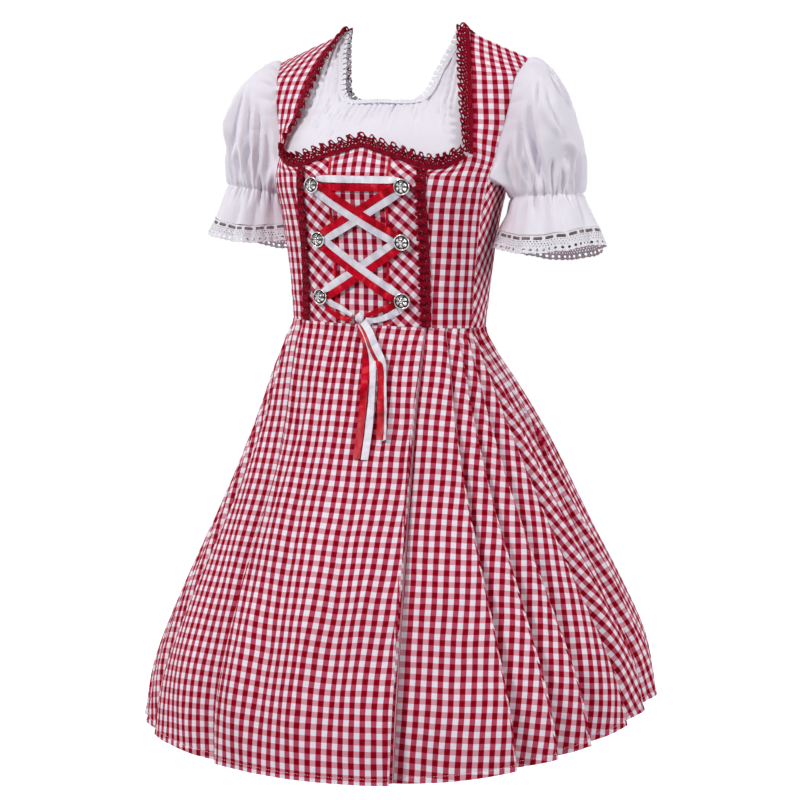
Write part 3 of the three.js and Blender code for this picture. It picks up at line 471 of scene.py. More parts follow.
def tube(name, rings, material, cloth=None):
    """A solid through rings of points, as many rings as the rows of a grid, closed at both ends."""
    rows, columns = rings.shape[:2]
    index = closed(np.arange(rows * columns).reshape(rows, columns))
    quads = cells(index).reshape(-1, 4)
    corner_uv = cells(threads(rings, 0, loop=True) if cloth is None else cloth).reshape(-1, 4, 2)
    low, high = rows * columns, rows * columns + 1
    ends = [(low, index[0, j + 1], index[0, j]) for j in range(columns)]
    ends += [(high, index[-1, j], index[-1, j + 1]) for j in range(columns)]
    points = np.concatenate([rings.reshape(-1, 3), [rings[0].mean(0)], [rings[-1].mean(0)]])
    faces = np.concatenate([split(quads), ends])
    faces_uv = np.concatenate([split(corner_uv), np.zeros((len(ends), 3, 2))])
    return stand_in(name, points, faces, faces_uv, material)


def split(quads):
    """Two triangles from each quad."""
    return np.concatenate([quads[:, [0, 1, 2]], quads[:, [0, 2, 3]]])


LINE_FADE = 0.35  # the share of a crease over which it fades out at each end
LINE_NARROW = 0.55  # how wide it is at its ends, as a share
TROUGH_KEEN, RIDGE_KEEN = 1.2, 2  # a trough is keener than a ridge
# How high the cloth swells beside a trough, as a share of its depth, and where and how wide, in its widths
RIM, RIM_AT, RIM_WIDTH = 0.22, 2.1, 0.9


def creased(place, table, scale=(1, 1)):
    """Troughs, whose depth is below 0, and ridges along lines on a plane, with a scale for each direction.

    A row gives a line's two ends, its width, its depth and how far its middle bends aside."""
    out = np.zeros(place.shape[:-1])
    place = place * scale
    for x0, y0, x1, y1, width, depth, bend in table:
        start, end = np.array(((x0, y0), (x1, y1))) * scale
        length = np.linalg.norm(end - start)
        along = (end - start) / length
        t = (place - start) @ along / length
        aside = (place - start) @ np.array((-along[1], along[0])) - bend * 4 * t * (1 - t)
        ends = smooth(t / LINE_FADE) * smooth((1 - t) / LINE_FADE)
        off = np.abs(aside / (width * mix(LINE_NARROW, 1, ends)))
        out += depth * ends * np.exp(-(off ** (TROUGH_KEEN if depth < 0 else RIDGE_KEEN)))
        if depth < 0:
            out -= RIM * depth * ends * bell(off - RIM_AT, RIM_WIDTH)
    return out


def wander(t, seed, waves=(1.0, 2.3, 4.1)):
    """A gentle wavering along t, the same each run."""
    phase = np.random.default_rng(seed).uniform(0, 2 * math.pi, len(waves))
    return sum(np.sin(w * t + p) / (k + 1) for k, (w, p) in enumerate(zip(waves, phase)))


def gathers(t, seed, count, keenness):
    """Irregular small folds, about a count of them as t runs from 0 to 1: 1 on a ridge, -1 in a trough."""
    turn = 2 * math.pi * t
    drift = wander(turn, seed, (1, 3, 5)) * 0.9 + wander(turn, seed + 1, (8, 13)) * 0.35
    wave = 2 * np.abs(np.sin(math.pi * count * t + drift / 2)) ** keenness - 1.2
    return wave * (0.75 + 0.3 * wander(turn, seed + 2, (4, 9, 15)))


# ---- Materials

MATERIALS = {}


class Nodes:
    """A material's node tree, built one call at a time."""

    def __init__(self, name):
        self.material = bpy.data.materials.new(name)
        self.material.use_nodes = True
        self.tree = self.material.node_tree
        self.shader = self.tree.nodes["Principled BSDF"]
        MATERIALS[name] = self.material

    def add(self, kind, inputs=(), **settings):
        node = self.tree.nodes.new(kind)
        for key, value in settings.items():
            setattr(node, key, value)
        for key, value in dict(inputs).items():
            self.put(node.inputs[key], value)
        return node

    def put(self, socket, value):
        if isinstance(value, bpy.types.NodeSocket):
            self.tree.links.new(value, socket)
        else:
            socket.default_value = value

    def set(self, **values):
        for key, value in values.items():
            self.put(self.shader.inputs[key.replace("_", " ")], value)

    def math(self, operation, a, b=0.0, c=0.0):
        return self.add("ShaderNodeMath", {0: a, 1: b, 2: c}, operation=operation).outputs[0]

    def spread(self, value, low, high, to_low=0.0, to_high=1.0):
        inputs = {"Value": value, "From Min": low, "From Max": high, "To Min": to_low, "To Max": to_high}
        return self.add("ShaderNodeMapRange", inputs).outputs[0]

    def cloth(self, scale=(1, 1, 1)):
        uv = self.add("ShaderNodeUVMap", uv_map="Cloth").outputs[0]
        return self.add("ShaderNodeVectorMath", {0: uv, 1: scale}, operation="MULTIPLY").outputs[0]

    def place(self):
        return self.add("ShaderNodeTexCoord").outputs["Object"]

    def noise(self, vector, scale, detail):
        inputs = {"Vector": vector, "Scale": scale, "Detail": detail}
        return self.add("ShaderNodeTexNoise", inputs).outputs["Fac"]

    def ramp(self, value, stops):
        node = self.add("ShaderNodeValToRGB", {"Fac": value})
        band = node.color_ramp
        while len(band.elements) < len(stops):
            band.elements.new(0.5)
        for element, (at, colour) in zip(band.elements, stops):
            element.position = at
            element.color = colour
        return node.outputs["Color"]

    def shaded(self, colour, shade):
        """A colour times a shade, through the Mix node's sockets for colours."""
        settings = {"data_type": "RGBA", "blend_type": "MULTIPLY"}
        return self.add("ShaderNodeMix", {"Factor": 1.0, 6: colour, 7: shade}, **settings).outputs[2]

    def bump(self, height, distance, strength, normal=None):
        inputs = {"Height": height, "Distance": distance, "Strength": strength}
        if normal is not None:
            inputs["Normal"] = normal
        return self.add("ShaderNodeBump", inputs).outputs[0]


def rgb(*screen):
    """A colour from its red, green and blue on a screen, 0 to 255."""
    return (*(((c / 255 + 0.055) / 1.055) ** 2.4 if c > 10 else c / 3295 for c in screen), 1)


CHECK, CHECK_UP = 13.7, 14.4  # a red and a white stripe across and along the cloth, in mm
THREAD, COTTON_THREAD = 0.42, 0.36  # the pitch of the gingham's threads and of the cotton's, in mm
STRIPE_EDGE = (0.236, 0.264)  # where a stripe starts and ends, either side of a quarter of its repeat


def per_mm(across, along):
    """The scale of cloth coordinates in which these lengths in mm are 1."""
    return 1 / (across * MM), 1 / (along * MM), 1


def weave(nodes, pitch):
    """The height of a plain weave's threads, 0 to 1."""
    parts = nodes.add("ShaderNodeSeparateXYZ", {0: nodes.cloth((math.pi / (pitch * MM),) * 3)})
    across = nodes.math("SINE", parts.outputs[0])
    along = nodes.math("SINE", parts.outputs[1])
    return nodes.math("MULTIPLY_ADD", nodes.math("MULTIPLY", across, along), 0.5, 0.5)


def stripe(nodes, value):
    """1 on a coloured stripe of the cloth and 0 between."""
    return nodes.spread(nodes.math("PINGPONG", value, 0.5), *STRIPE_EDGE)


# From white through weft only and warp only to both
GINGHAM_COLOURS = (
    (0, rgb(248, 247, 252)), (0.38, rgb(228, 158, 176)), (0.62, rgb(198, 66, 100)), (1, rgb(148, 0, 16)),
)


def make_gingham():
    """Red and white gingham with uneven stripes, streaky yarns and a softly crumpled surface."""
    nodes = Nodes("gingham")
    scaled = nodes.cloth(per_mm(CHECK, CHECK_UP))
    drift = nodes.noise(scaled, 0.35, 1.0)
    parts = nodes.add("ShaderNodeSeparateXYZ", {0: scaled})
    wobble = nodes.math("MULTIPLY_ADD", drift, 0.12, -0.06)
    warp = stripe(nodes, nodes.math("ADD", parts.outputs[0], wobble))
    weft = stripe(nodes, nodes.math("ADD", parts.outputs[1], wobble))
    both = nodes.math("MULTIPLY_ADD", warp, 0.62, nodes.math("MULTIPLY", weft, 0.38))
    height = weave(nodes, THREAD)
    mixed = nodes.math("MULTIPLY_ADD", nodes.math("SUBTRACT", height, 0.5), 0.16, both)
    yarn = nodes.noise(nodes.cloth(per_mm(0.5, 14)), 1.0, 1.0)
    pick = nodes.noise(nodes.cloth(per_mm(14, 0.5)), 1.0, 1.0)
    streaks = nodes.math("MULTIPLY_ADD", nodes.math("ADD", yarn, pick), 0.24, 0.76)
    cloudy = nodes.spread(nodes.noise(nodes.place(), 9.0, 3.0), 0.3, 0.7, 0.95, 1.03)
    shade = nodes.math("MULTIPLY", streaks, cloudy)
    grey = nodes.add("ShaderNodeCombineColor", {0: shade, 1: shade, 2: shade}).outputs[0]
    crumple = nodes.bump(nodes.noise(nodes.place(), 70.0, 3.0), 0.0011, 0.35)
    nodes.set(Base_Color=nodes.shaded(nodes.ramp(mixed, GINGHAM_COLOURS), grey))
    nodes.set(Roughness=nodes.spread(height, 0, 1, 0.9, 0.78), Specular_IOR_Level=0.01)
    nodes.set(Normal=nodes.bump(height, 0.00012, 0.6, crumple))


def make_cotton():
    nodes = Nodes("cotton")
    height = weave(nodes, COTTON_THREAD)
    cloudy = nodes.noise(nodes.place(), 11.0, 3.0)
    crumple = nodes.bump(nodes.noise(nodes.place(), 55.0, 4.0), 0.0014, 0.4)
    nodes.set(Base_Color=nodes.ramp(cloudy, ((0.3, rgb(238, 232, 241)), (0.7, rgb(247, 243, 250)))))
    nodes.set(Roughness=nodes.spread(height, 0, 1, 0.92, 0.8), Specular_IOR_Level=0.15)
    nodes.set(Normal=nodes.bump(height, 0.0001, 0.5, crumple))
    nodes.set(Sheen_Weight=0.08, Sheen_Roughness=0.5)


def make_lace(name, low, high):
    """Crocheted thread, from the colour low between the loops to that high on them: painted shade in the
    hollows and painted light on the raised loops.
    """
    nodes = Nodes(name)
    apart = nodes.add("ShaderNodeTexVoronoi", {"Vector": nodes.place(), "Scale": 620.0}).outputs["Distance"]
    loops = nodes.spread(apart, 0.1, 0.75)
    fuzz = nodes.noise(nodes.place(), 900.0, 2.0)
    height = nodes.math("MULTIPLY_ADD", fuzz, 0.4, nodes.math("SUBTRACT", 1.0, loops))
    # Painted shade between the loops and painted light on them
    nodes.set(Base_Color=nodes.ramp(loops, ((0.15, high), (0.95, low))))
    nodes.set(Roughness=nodes.spread(fuzz, 0.3, 0.7, 0.9, 0.7))
    nodes.set(Normal=nodes.bump(height, 0.0003, 0.7))
    nodes.set(Specular_IOR_Level=0.1)


SHEEN_STOPS = (0.34, 0.44, 0.58, 0.68)  # the ripple noise's levels for the four colours, from a painted shade to a painted highlight


def make_satin(name, *shades):
    """Satin with fine ribs and soft ripples, whose colour runs over the ripple noise from deep to bright in
    four steps: a painted sheen, with painted shade and painted highlights for the satin's reflections.
    """
    nodes = Nodes(name)
    ribs = nodes.noise(nodes.cloth(per_mm(0.25, 9)), 1.0, 1.0)
    # Each ribbon lies elsewhere, which sets its ripples and painted sheen apart from the others'
    apart = {0: nodes.place(), 1: (25.0, 25.0, 25.0), 2: nodes.cloth(per_mm(26, 9))}
    spread_out = nodes.add("ShaderNodeVectorMath", apart, operation="MULTIPLY_ADD").outputs[0]
    waves = nodes.noise(spread_out, 1.0, 1.0)
    both = nodes.math("MULTIPLY_ADD", ribs, 0.2, nodes.math("MULTIPLY", waves, 0.8))
    # The colour's steps over the ripples are painted shade and painted highlights of a satin sheen
    nodes.set(Base_Color=nodes.ramp(both, tuple(zip(SHEEN_STOPS, shades))))
    nodes.set(Roughness=nodes.spread(ribs, 0.3, 0.7, 0.38, 0.28), Specular_IOR_Level=0.1)
    nodes.set(Normal=nodes.bump(ribs, 0.00005, 0.5, nodes.bump(waves, 0.0008, 0.5)))


def make_silver():
    """Antique silver, whose second cloth coordinate says how clean it is rubbed, from 0 to 1."""
    nodes = Nodes("antique_silver")
    wear = nodes.noise(nodes.place(), 500.0, 4.0)
    rubbed = nodes.add("ShaderNodeSeparateXYZ", {0: nodes.cloth()}).outputs[1]
    clean = nodes.math("MULTIPLY_ADD", nodes.math("SUBTRACT", wear, 0.5), 0.5, rubbed)
    stops = ((0.15, rgb(20, 18, 18)), (0.5, rgb(92, 88, 86)), (0.92, rgb(230, 229, 227)))
    nodes.set(Base_Color=nodes.ramp(clean, stops))
    nodes.set(Roughness=nodes.spread(clean, 0.2, 1, 0.5, 0.22))
    nodes.set(Normal=nodes.bump(wear, 0.00015, 0.25))
    nodes.set(Metallic=1.0)


make_gingham()
make_cotton()
# Each lace's two colours: painted shade between its loops, painted light on them
make_lace("red_lace", rgb(98, 0, 20), rgb(170, 0, 40))
make_lace("white_lace", rgb(234, 231, 238), rgb(250, 249, 252))
# Each satin's four colours run from a painted shade to a painted highlight
make_satin("red_satin", rgb(150, 0, 20), rgb(188, 0, 30), rgb(212, 4, 38), rgb(236, 56, 68))
make_satin("white_satin", rgb(216, 208, 222), rgb(230, 224, 235), rgb(242, 239, 246), rgb(252, 250, 254))
make_silver()
# A dark band seen through the cuff lace's ladder holes: painted shade, with the same painted sheen
make_satin("beading_ribbon", rgb(96, 76, 82), rgb(106, 86, 92), rgb(132, 112, 116), rgb(146, 126, 130))

# ---- Bodice

SEAM_DIP, SEAM_CELLS = 0.7, 4  # how far sewing draws a panel's edges in, and over how many cells
RIPPLE, RIPPLE_WAVES = 0.2, (0.35, 0.61, 0.83)  # of the sewn edges
SWELL = 0.18  # of the whole panel


def panel(name, control, up, across, start, seed, creases=(), turn=0.0, ridge=False):
    """A piece of the bodice: its control grid made fine, creased and drawn in at its seams."""
    grid = refined_both(control, up, across)
    cloth = threads(grid, start * across)
    x, z = cloth[..., 0], cloth[..., 1]
    near = 1 - smooth(from_edge(grid, SEAM_CELLS))
    out = creased(cloth, creases) - SEAM_DIP * near
    out += RIPPLE * near * wander(z + 0.6 * x, seed, RIPPLE_WAVES)
    out += SWELL * wander(z * 0.05 + x * 0.09, seed + 3)
    grid = trimmed(pushed(grid, out, ridge=ridge))
    shell(name, grid, turned(cloth, turn), "gingham", ridge=ridge)


def sided(grid, side):
    """A grid of the wearer's left side, or its mirror image for the right."""
    return grid if side > 0 else flip(grid[:, ::-1])


def front_rows(across):
    """Rows up to the neckline, at places across that depend on the piping's distance from the centre."""
    top = across(PIPING_TOP)
    return np.array([on_front(across(piping_at(z)), z) for z in LEVELS] + [on_front(top, neckline(top))])


def centre_control():
    return front_rows(lambda piping: np.linspace(-1, 1, 7) * piping)


def bias_control():
    return front_rows(lambda piping: mix(piping, STRIP_SEAM, np.linspace(0, 1, 5)))


def upper_row(row, places):
    """Points on a row of the upper body: place 0 is its armhole, 1 the strap, 2 the neck and 3 the centre."""
    half = np.array(row[:3], float)
    if len(row) > 3:
        half = np.concatenate([half, [row[3]], flip(half[::-1])])
    return curve(half, places)


STRAP_PLACES = (0, 0.25, 0.5, 0.75, 1)
BACK_PLACES = STRAP_PLACES + (1.5, 2, 2.5, 3)


def front_control():
    beside = np.linspace(0, 1, 5)
    rows = []
    for z in LEVELS:
        inner = on_front(mix(STRIP_SEAM, strap_at(z), beside), z)
        angles = np.linspace(angle_at(z, strap_at(z)), SIDE_FRONT, 5)[1:]
        rows.append([*inner, *ring(z, angles)])
    edge = mix(STRIP_SEAM, CHEST[0][1][0], beside[:-1])
    rows.append([*on_front(edge, neckline(edge)), *upper_row(CHEST[0], STRAP_PLACES)[::-1]])
    rows += [[None] * 4 + [*upper_row(row, STRAP_PLACES)[::-1]] for row in CHEST[1:]]
    return gathered_rows(rows)


# The top of the side panel, under the arm: angle and height
ARMPIT_AT = ((75, LEVELS[-1]), (84, -207), (95, -209), (105, -207), (114, LEVELS[-1]))
ARMPIT = [(math.radians(angle), z) for angle, z in ARMPIT_AT]


def side_control():
    angles = np.linspace(SIDE_FRONT, SIDE_BACK, 7)
    rows = [ring(z, angles) for z in LEVELS[:-1]]
    return np.array(rows + [ring(column(ARMPIT, 1, angles), angles)])


def back_angles(z):
    """Angles from the side seam to the centre back, by way of the neckline's corner."""
    corner = angle_at(z, BACK_CORNER, True)
    return [*np.linspace(SIDE_BACK, corner, 5), *np.linspace(corner, math.pi, 5)[1:]]


def back_control():
    rows = [[*ring(z, np.array(back_angles(z)))] for z in LEVELS]
    for row in BLADES:
        points = [*upper_row(row, BACK_PLACES if len(row) > 3 else STRAP_PLACES)]
        rows.append(points + [None] * (9 - len(points)))
    return gathered_rows(rows)


# Creases on each panel's own cloth, in mm across from its reference edge and up from the waist: two ends,
# width, depth (below 0 for a trough) and bend
CENTRE_CREASES = (
    (-30, 12, 26, 18, 6, -0.7, 3), (-34, 24, 8, 33, 5, 0.5, -2), (6, 46, 33, 38, 6, -0.5, 2),
    (-28, 70, 10, 66, 7, -0.4, 2), (-10, 128, 30, 120, 8, -0.4, 3), (-32, 170, -4, 160, 7, -0.35, 2),
)
BIAS_CREASES = (
    (2, 10, 40, 16, 5, -0.6, 2), (8, 24, 44, 34, 5, 0.45, -2), (4, 52, 36, 44, 6, -0.5, 3),
    (6, 96, 40, 104, 7, -0.4, -2), (10, 150, 44, 138, 8, -0.4, 3),
)
FRONT_CREASES = (
    (8, 40, 12, 190, 3.6, -1.9, 3), (16, 50, 21, 195, 3.2, -1.8, 4), (25, 66, 31, 190, 3.2, -1.7, 4),
    (12, 96, 17, 205, 2.8, 1.2, 3), (21, 90, 27, 200, 2.8, 1.1, 3), (1, 90, 4, 200, 3.4, -1, 2),
    (-24, 12, 30, 22, 6, -0.8, 3), (-16, 30, 26, 44, 5, 0.6, -2), (-14, 150, -8, 205, 5, -0.5, 2),
    (6, 176, 34, 214, 4.5, -1.8, 5), (10, 160, 38, 190, 4, -1.6, 5), (4, 230, 30, 250, 7, -0.6, 3),
    (6, 290, 34, 282, 7, -0.6, 3), (3, 262, 20, 300, 5, -0.6, 3),
)
SIDE_CREASES = (
    (8, 14, 84, 26, 6, -0.8, 5), (16, 36, 92, 52, 6, 0.5, -5), (10, 70, 70, 96, 7, -0.7, 6),
    (30, 120, 96, 104, 7, -0.6, 6), (14, 150, 80, 176, 7, -0.5, -6),
)
BACK_CREASES = (
    (-60, 10, 30, 20, 7, -0.8, 5), (-40, 28, 70, 36, 6, 0.5, -4), (0, 52, 90, 44, 7, -0.7, 5),
    (-50, 90, 10, 130, 7, -0.6, 6), (40, 150, 80, 110, 7, -0.5, 5), (-40, 190, 0, 240, 7, -0.7, 5),
    (10, 236, 60, 210, 7, -0.5, -4),
)


def sided_creases(table, side):
    """The table, or for the wearer's right its mirror image, a little different in place and depth."""
    if side > 0:
        return table
    vary = np.random.default_rng(11).uniform(-1, 1, (len(table), 3))
    return [
        (-x0 + 4 * a, y0 + 5 * b, -x1 + 3 * c, y1 + 4 * a, width, depth * (1 + 0.3 * c), -bend)
        for (x0, y0, x1, y1, width, depth, bend), (a, b, c) in zip(table, vary)
    ]


panel("bodice_centre", centre_control(), 8, 7, 3, 21, CENTRE_CREASES)
# Each side's pieces: control grid, how much finer it is made up and across, the column that its straight
# threads follow, their turn on the left and on the right, creases, whether it meets the shoulder, and seed
SIDE_PIECES = (
    ("bias", bias_control(), 8, 7, 0, (-50, -50), BIAS_CREASES, False, 31),
    ("front", front_control(), 7, 5, 4, (0, 0), FRONT_CREASES, True, 41),
    ("side", side_control(), 8, 6, 0, (35, -35), SIDE_CREASES, False, 51),
    ("back", back_control(), 7, 6, 4, (0, 0), BACK_CREASES, True, 61),
)
for side, word in SIDES:
    for part, control, up, across, start, turns, table, ridge, seed in SIDE_PIECES:
        if side < 0:
            start = control.shape[1] - 1 - start
        panel(
            f"bodice_{part}_{word}", sided(control, side), up, across, start, seed + side,
            sided_creases(table, side), turns[0] if side > 0 else turns[1], ridge,
        )

# ---- Skirt


def down(z):
    """How far down the skirt a height is, from 0 at the waist to 1 at the hem."""
    return (WAIST - z) / (WAIST - HEM)


def line_angle(waist, hem, z):
    """The angle at a height of a straight line from one angle at the waist to another at the hem."""
    t = down(z)
    start, end = section(WAIST, math.radians(waist)), section(HEM, math.radians(hem))
    half, front, wide, back = (column(RINGS, k, z) for k in (1, 2, 3, 4))
    x, y = mix(start[0], end[0], t), mix(start[1], end[1], t)
    depth = np.where(y < wide, wide - front, back - wide)
    return np.degrees(np.arctan2(x / half, (wide - y) / depth))


def skirt_point(z, angle, out):
    point = ring(z, np.radians(angle), out)
    point[..., 2] += HEM_LIFT * down(z) ** 2 * smooth(1 - np.abs(angle - LIFT_AT) / LIFT_REACH)
    return point


HEM_FOLD = 7.5  # the hem's stitch line above its edge
CENTRE_COLUMNS, END_COLUMNS = 46, 12  # of each half of the centre's face, and of the part face at a seam
FACE_SHARES = np.concatenate([[0, 0.02, 0.05], np.linspace(0.1, 0.9, 11), [0.94, 0.97, 0.99, 1.0]])
# A face's bulge and the roll at its edge, as shares of the folds' depth, and where across it the roll starts
FACE_BULGE, EDGE_ROLL, ROLL_FROM = 0.16, 0.05, 0.93
# The cloth behind a fold's edge: how far it turns back, as a share of the tuck, and its depth as a share
UNDER = ((0.1, 0.05), (0.35, 0.14), (0.75, 0.3), (0.95, 0.5), (0.6, 0.75), (-0.2, 0.93))
CENTRE_TUCK, TUCK = 2.3, 1.4  # in degrees
# The long and the fine swells of the folds' faces, and the share of them that the centre's face has
FACE_SWELL, FACE_FINE, CENTRE_SHAPE = 2.6, 0.8, 0.6

skirt_rows = np.concatenate([
    np.linspace(WAIST, WAIST - 60, 17), np.linspace(WAIST - 65, HEM + 13, 67),
    HEM + np.array([HEM_FOLD + 1.6, HEM_FOLD + 0.7, HEM_FOLD, HEM_FOLD - 0.7, HEM_FOLD - 1.6, 4, 2, 0.6, 0]),
])


def fold_faces(first, last, start, end):
    """The faces of one side's folds. Each is its columns' angles and distances off the form at every height,
    its middle column, how far each column is across it, and its number."""
    t = down(skirt_rows)
    depth, back = mix(*FOLD_DEPTH, t**0.8), mix(*FOLD_RETURN, t)
    behind = np.array(UNDER)[:, :, None]
    faces = []
    low, before = (0 if first == 0 else -depth * 0.5), start
    for number in range(first, last):
        edge = line_angle(*FOLDS[number], skirt_rows)
        centre_face = number == 0
        shares = (np.linspace(0, 1, CENTRE_COLUMNS) if centre_face else FACE_SHARES)[:, None]
        rise = smooth(shares) if centre_face else shares**0.8
        bulge = 0 if centre_face else FACE_BULGE * depth * np.sin(math.pi * shares)
        roll = EDGE_ROLL * depth * smooth((shares - ROLL_FROM) / (1 - ROLL_FROM))
        tuck = (CENTRE_TUCK if centre_face else TUCK) * smooth(t / 0.4)
        angles = np.concatenate([mix(before, edge, shares), edge - behind[:, 0] * tuck])
        outs = np.concatenate([low * (1 - rise) + bulge - roll, -depth * behind[:, 1]])
        middle = 0 if centre_face else len(shares) // 2
        across = np.concatenate([shares[:, 0], np.ones(len(UNDER))])
        faces.append((angles, outs, middle, across, number))
        before, low = edge + back, -depth
    shares = np.linspace(0, 1, END_COLUMNS)[:, None]
    outs = mix(-depth, -depth * 0.5, smooth(shares))
    faces.append((mix(before, end, shares), outs, (END_COLUMNS - 1) // 2, shares[:, 0], last))
    return faces


def face_shape(number, across, side):
    """Soft swells and hollows of one fold's face, in mm off the form."""
    t, across = down(skirt_rows)[None, :], across[:, None]
    seed = 100 + 7 * number + (3 if side > 0 else 0)
    swell = wander(2.2 * t + 0.7 * across, seed, (2.0, 4.4, 7.9)) * FACE_SWELL * t**0.7
    fine = wander(5 * t + 3 * across, seed + 2, (3.0, 5.5, 9.0)) * FACE_FINE
    return np.sin(math.pi * across) ** 0.7 * (swell + fine)


# Creases of the front panel, in degrees from its centre line and mm below the waist
PANEL_CREASES = (
    (13.5, 4, 18, 190, 2.6, -4, 0.5), (-9, 4, -13.5, 150, 2.4, -2.8, -0.5),
    (3, 3, 4.5, 110, 1.6, -2.2, 0.3), (-21, 5, -17.5, 180, 2.4, -3, 0.5), (24, 6, 22, 130, 2, -2.6, 0.3),
    (-2.5, 6, -4, 70, 1.4, 1.4, 0.2), (8, 4, 9.5, 100, 1.4, 1.6, 0.2), (-30, 5, -23, 130, 1.8, -2.6, 0.4),
    (31, 4, 25, 150, 2, -2.4, 0.4), (7, 160, 9, 539, 3, -5.2, 0.8), (-8, 200, -10.5, 539, 3.4, -5.6, -0.8),
    (0, 260, 1, 538, 2.8, 4, 0.5), (14.5, 240, 15, 538, 2.2, 3.6, 0.4),
    (-15.5, 300, -16, 538, 2.2, 3.6, 0.4), (-3, 60, -5, 210, 2, 1.8, 0.4), (27, 110, 18, 330, 2, -3, 0.6),
    (-27, 120, -19, 320, 2, -2.6, -0.6),
)
PANEL_CREASE_SCALE = (1, 0.02)
PANEL_GATHERS, GATHERS_DOWN = 1.1, 85  # of the small gathers under the waist seam
# How many degrees the straight threads of each fold's face lean towards the front as they run down
FACE_TURN = (0, 8, 16, 18, 18, -20, -8, -4, 10, 14, -6, 10, 4)
CLOTH_WAVER = 1.1  # how far the threads of hanging cloth waver
HEM_PROUD, HEM_GROOVE, HEM_SOFT = 0.45, 0.5, 0.12  # the turned-up hem, and the groove of its stitch line


def skirt_piece(name, faces):
    """A piece of the skirt. Its faces carry their own straight threads, with the joins in the folds."""
    below, half_way = WAIST - skirt_rows, len(skirt_rows) // 2
    turn = mix(*PANEL_TURN, down(skirt_rows))
    drawn = smooth(1 - below / GATHERS_DOWN) ** 1.3 * smooth(below / 6)
    hem = np.clip((skirt_rows - HEM) / HEM_FOLD, 0, 3)
    raised = HEM_PROUD * smooth((1 - hem) / HEM_SOFT + 0.5) - HEM_GROOVE * bell(hem - 1, HEM_SOFT)
    grids, cloths = [], []
    offset = 0.0
    for side, (angles, outs, middle, across, number) in faces:
        outs = outs + face_shape(number, across, side) * (CENTRE_SHAPE if number == 0 else 1)
        if number == 0:
            outs = outs + creased(stacked(side * angles, below), PANEL_CREASES, PANEL_CREASE_SCALE)
        angle = turn + side * angles
        small = gathers(angle / 190 + 0.02 * number, 230 + side, 23, 0.9)
        outs = outs + PANEL_GATHERS * small * drawn + raised
        if side < 0:
            angle, outs, middle = angle[::-1], outs[::-1], len(across) - 1 - middle
        grid = skirt_point(skirt_rows, angle, outs).swapaxes(0, 1)[::-1]
        cloth = threads(grid, middle, row=-1)
        cloth[..., 0] += offset - cloth[half_way, 0, 0]
        offset = cloth[half_way, -1, 0] + 2
        centre = cloth[half_way, middle, 0]
        waver = CLOTH_WAVER * wander(cloth[..., 1] * 0.012, 300 + 5 * number + side, (1.0, 2.1, 3.7))
        cloth[..., 0] += round(centre / CHECK) * CHECK - centre + waver
        grids.append(grid)
        cloths.append(turned(cloth, side * FACE_TURN[number]))
    grid = trimmed(np.concatenate(grids, 1))
    shell(name, grid, np.concatenate(cloths, 1), "gingham")
    return grid


seam_angle = mix(*SIDE_SEAM, down(skirt_rows))
front_faces = fold_faces(0, FRONT_FOLDS, 0, seam_angle)
back_faces = fold_faces(FRONT_FOLDS, len(FOLDS), seam_angle, 180)
skirt_faces = {
    "front": [(-1, face) for face in front_faces[::-1]] + [(1, face) for face in front_faces],
    "back_left": [(1, face) for face in back_faces],
    "back_right": [(-1, face) for face in back_faces[::-1]],
}
skirt = {part: skirt_piece(f"skirt_{part}", faces) for part, faces in skirt_faces.items()}

# ---- Blouse

BLOUSE_LEVELS = LEVELS[LEVELS.index(BLOUSE_HEM) : -1] + (LEVELS[-1] - 7,)


FRONT_PLACES = STRAP_PLACES + (1.33, 1.67, 2, 2.33, 2.67, 3)


def whole_rows(halves, front):
    """Rows across both sides from rows of the left side, which run from the side seam to the centre."""
    rows = []
    for half in halves:
        other = [None if p is None else flip(p) for p in half[:-1]]
        rows.append(other + half[::-1] if front else half + other[::-1])
    return gathered_rows(rows)


def blouse_control(front, angles_at, table, places, rise):
    """The blouse's front or back, from its rows' angles below the arm and its table above."""

    def ring_row(z):
        angles = angles_at(z)
        return [*ring(z, np.array([BLOUSE_SIDE, (BLOUSE_SIDE + angles[0]) / 2, *angles]))]

    halves = [ring_row(z) for z in BLOUSE_LEVELS]
    halves.append([None] * 2 + ring_row(LEVELS[-1])[2:])
    for i, row in enumerate(table):
        points = upper_row(row, [place for place in places if place <= len(row) - 1])
        if i == NECK_ROW:
            points[places.index(2) :] += rise
        halves.append([None] * 2 + [*points] + [None] * (len(places) - len(points)))
    return whole_rows(halves, front)


def front_angles(z):
    """Angles from the side seam to the centre, by way of the strap's and the neck's places."""
    strap, neck = angle_at(z, strap_at(z)), angle_at(z, 60)
    angles = [*np.linspace(SIDE_FRONT, strap, 5), *np.linspace(strap, neck, 4)[1:]]
    return angles + [*np.linspace(neck, 0, 4)[1:]]


# Creases below the blouse's neck, by place across and height: two ends, width, depth and bend
BLOUSE_CREASES = (
    (-54, -96, -88, -168, 2.4, -2, 4), (-38, -98, -68, -164, 2.2, -2.2, 4),
    (-26, -98, -50, -150, 1.9, -1.8, 3), (-8, -98, -24, -150, 2, -2.1, 3), (6, -98, -2, -138, 1.7, -1.5, 2),
    (19, -98, 16, -152, 2, -1.9, -2), (36, -98, 42, -146, 1.8, -1.7, -2), (52, -96, 66, -160, 2.2, -2, -3),
    (-76, -72, -104, -150, 2.6, -1.9, 4), (74, -72, 98, -154, 2.6, -1.9, -4),
    (-86, -44, -106, -100, 2.2, -1.5, 3), (84, -44, 102, -110, 2.2, -1.5, -3),
)


NECK_GATHERS, BLOUSE_SEAM_DIP = 2.2, 0.6
OPEN_TO, OPEN_FADE = 118, 22  # how far from the centre the gathers show, and over how far they fade


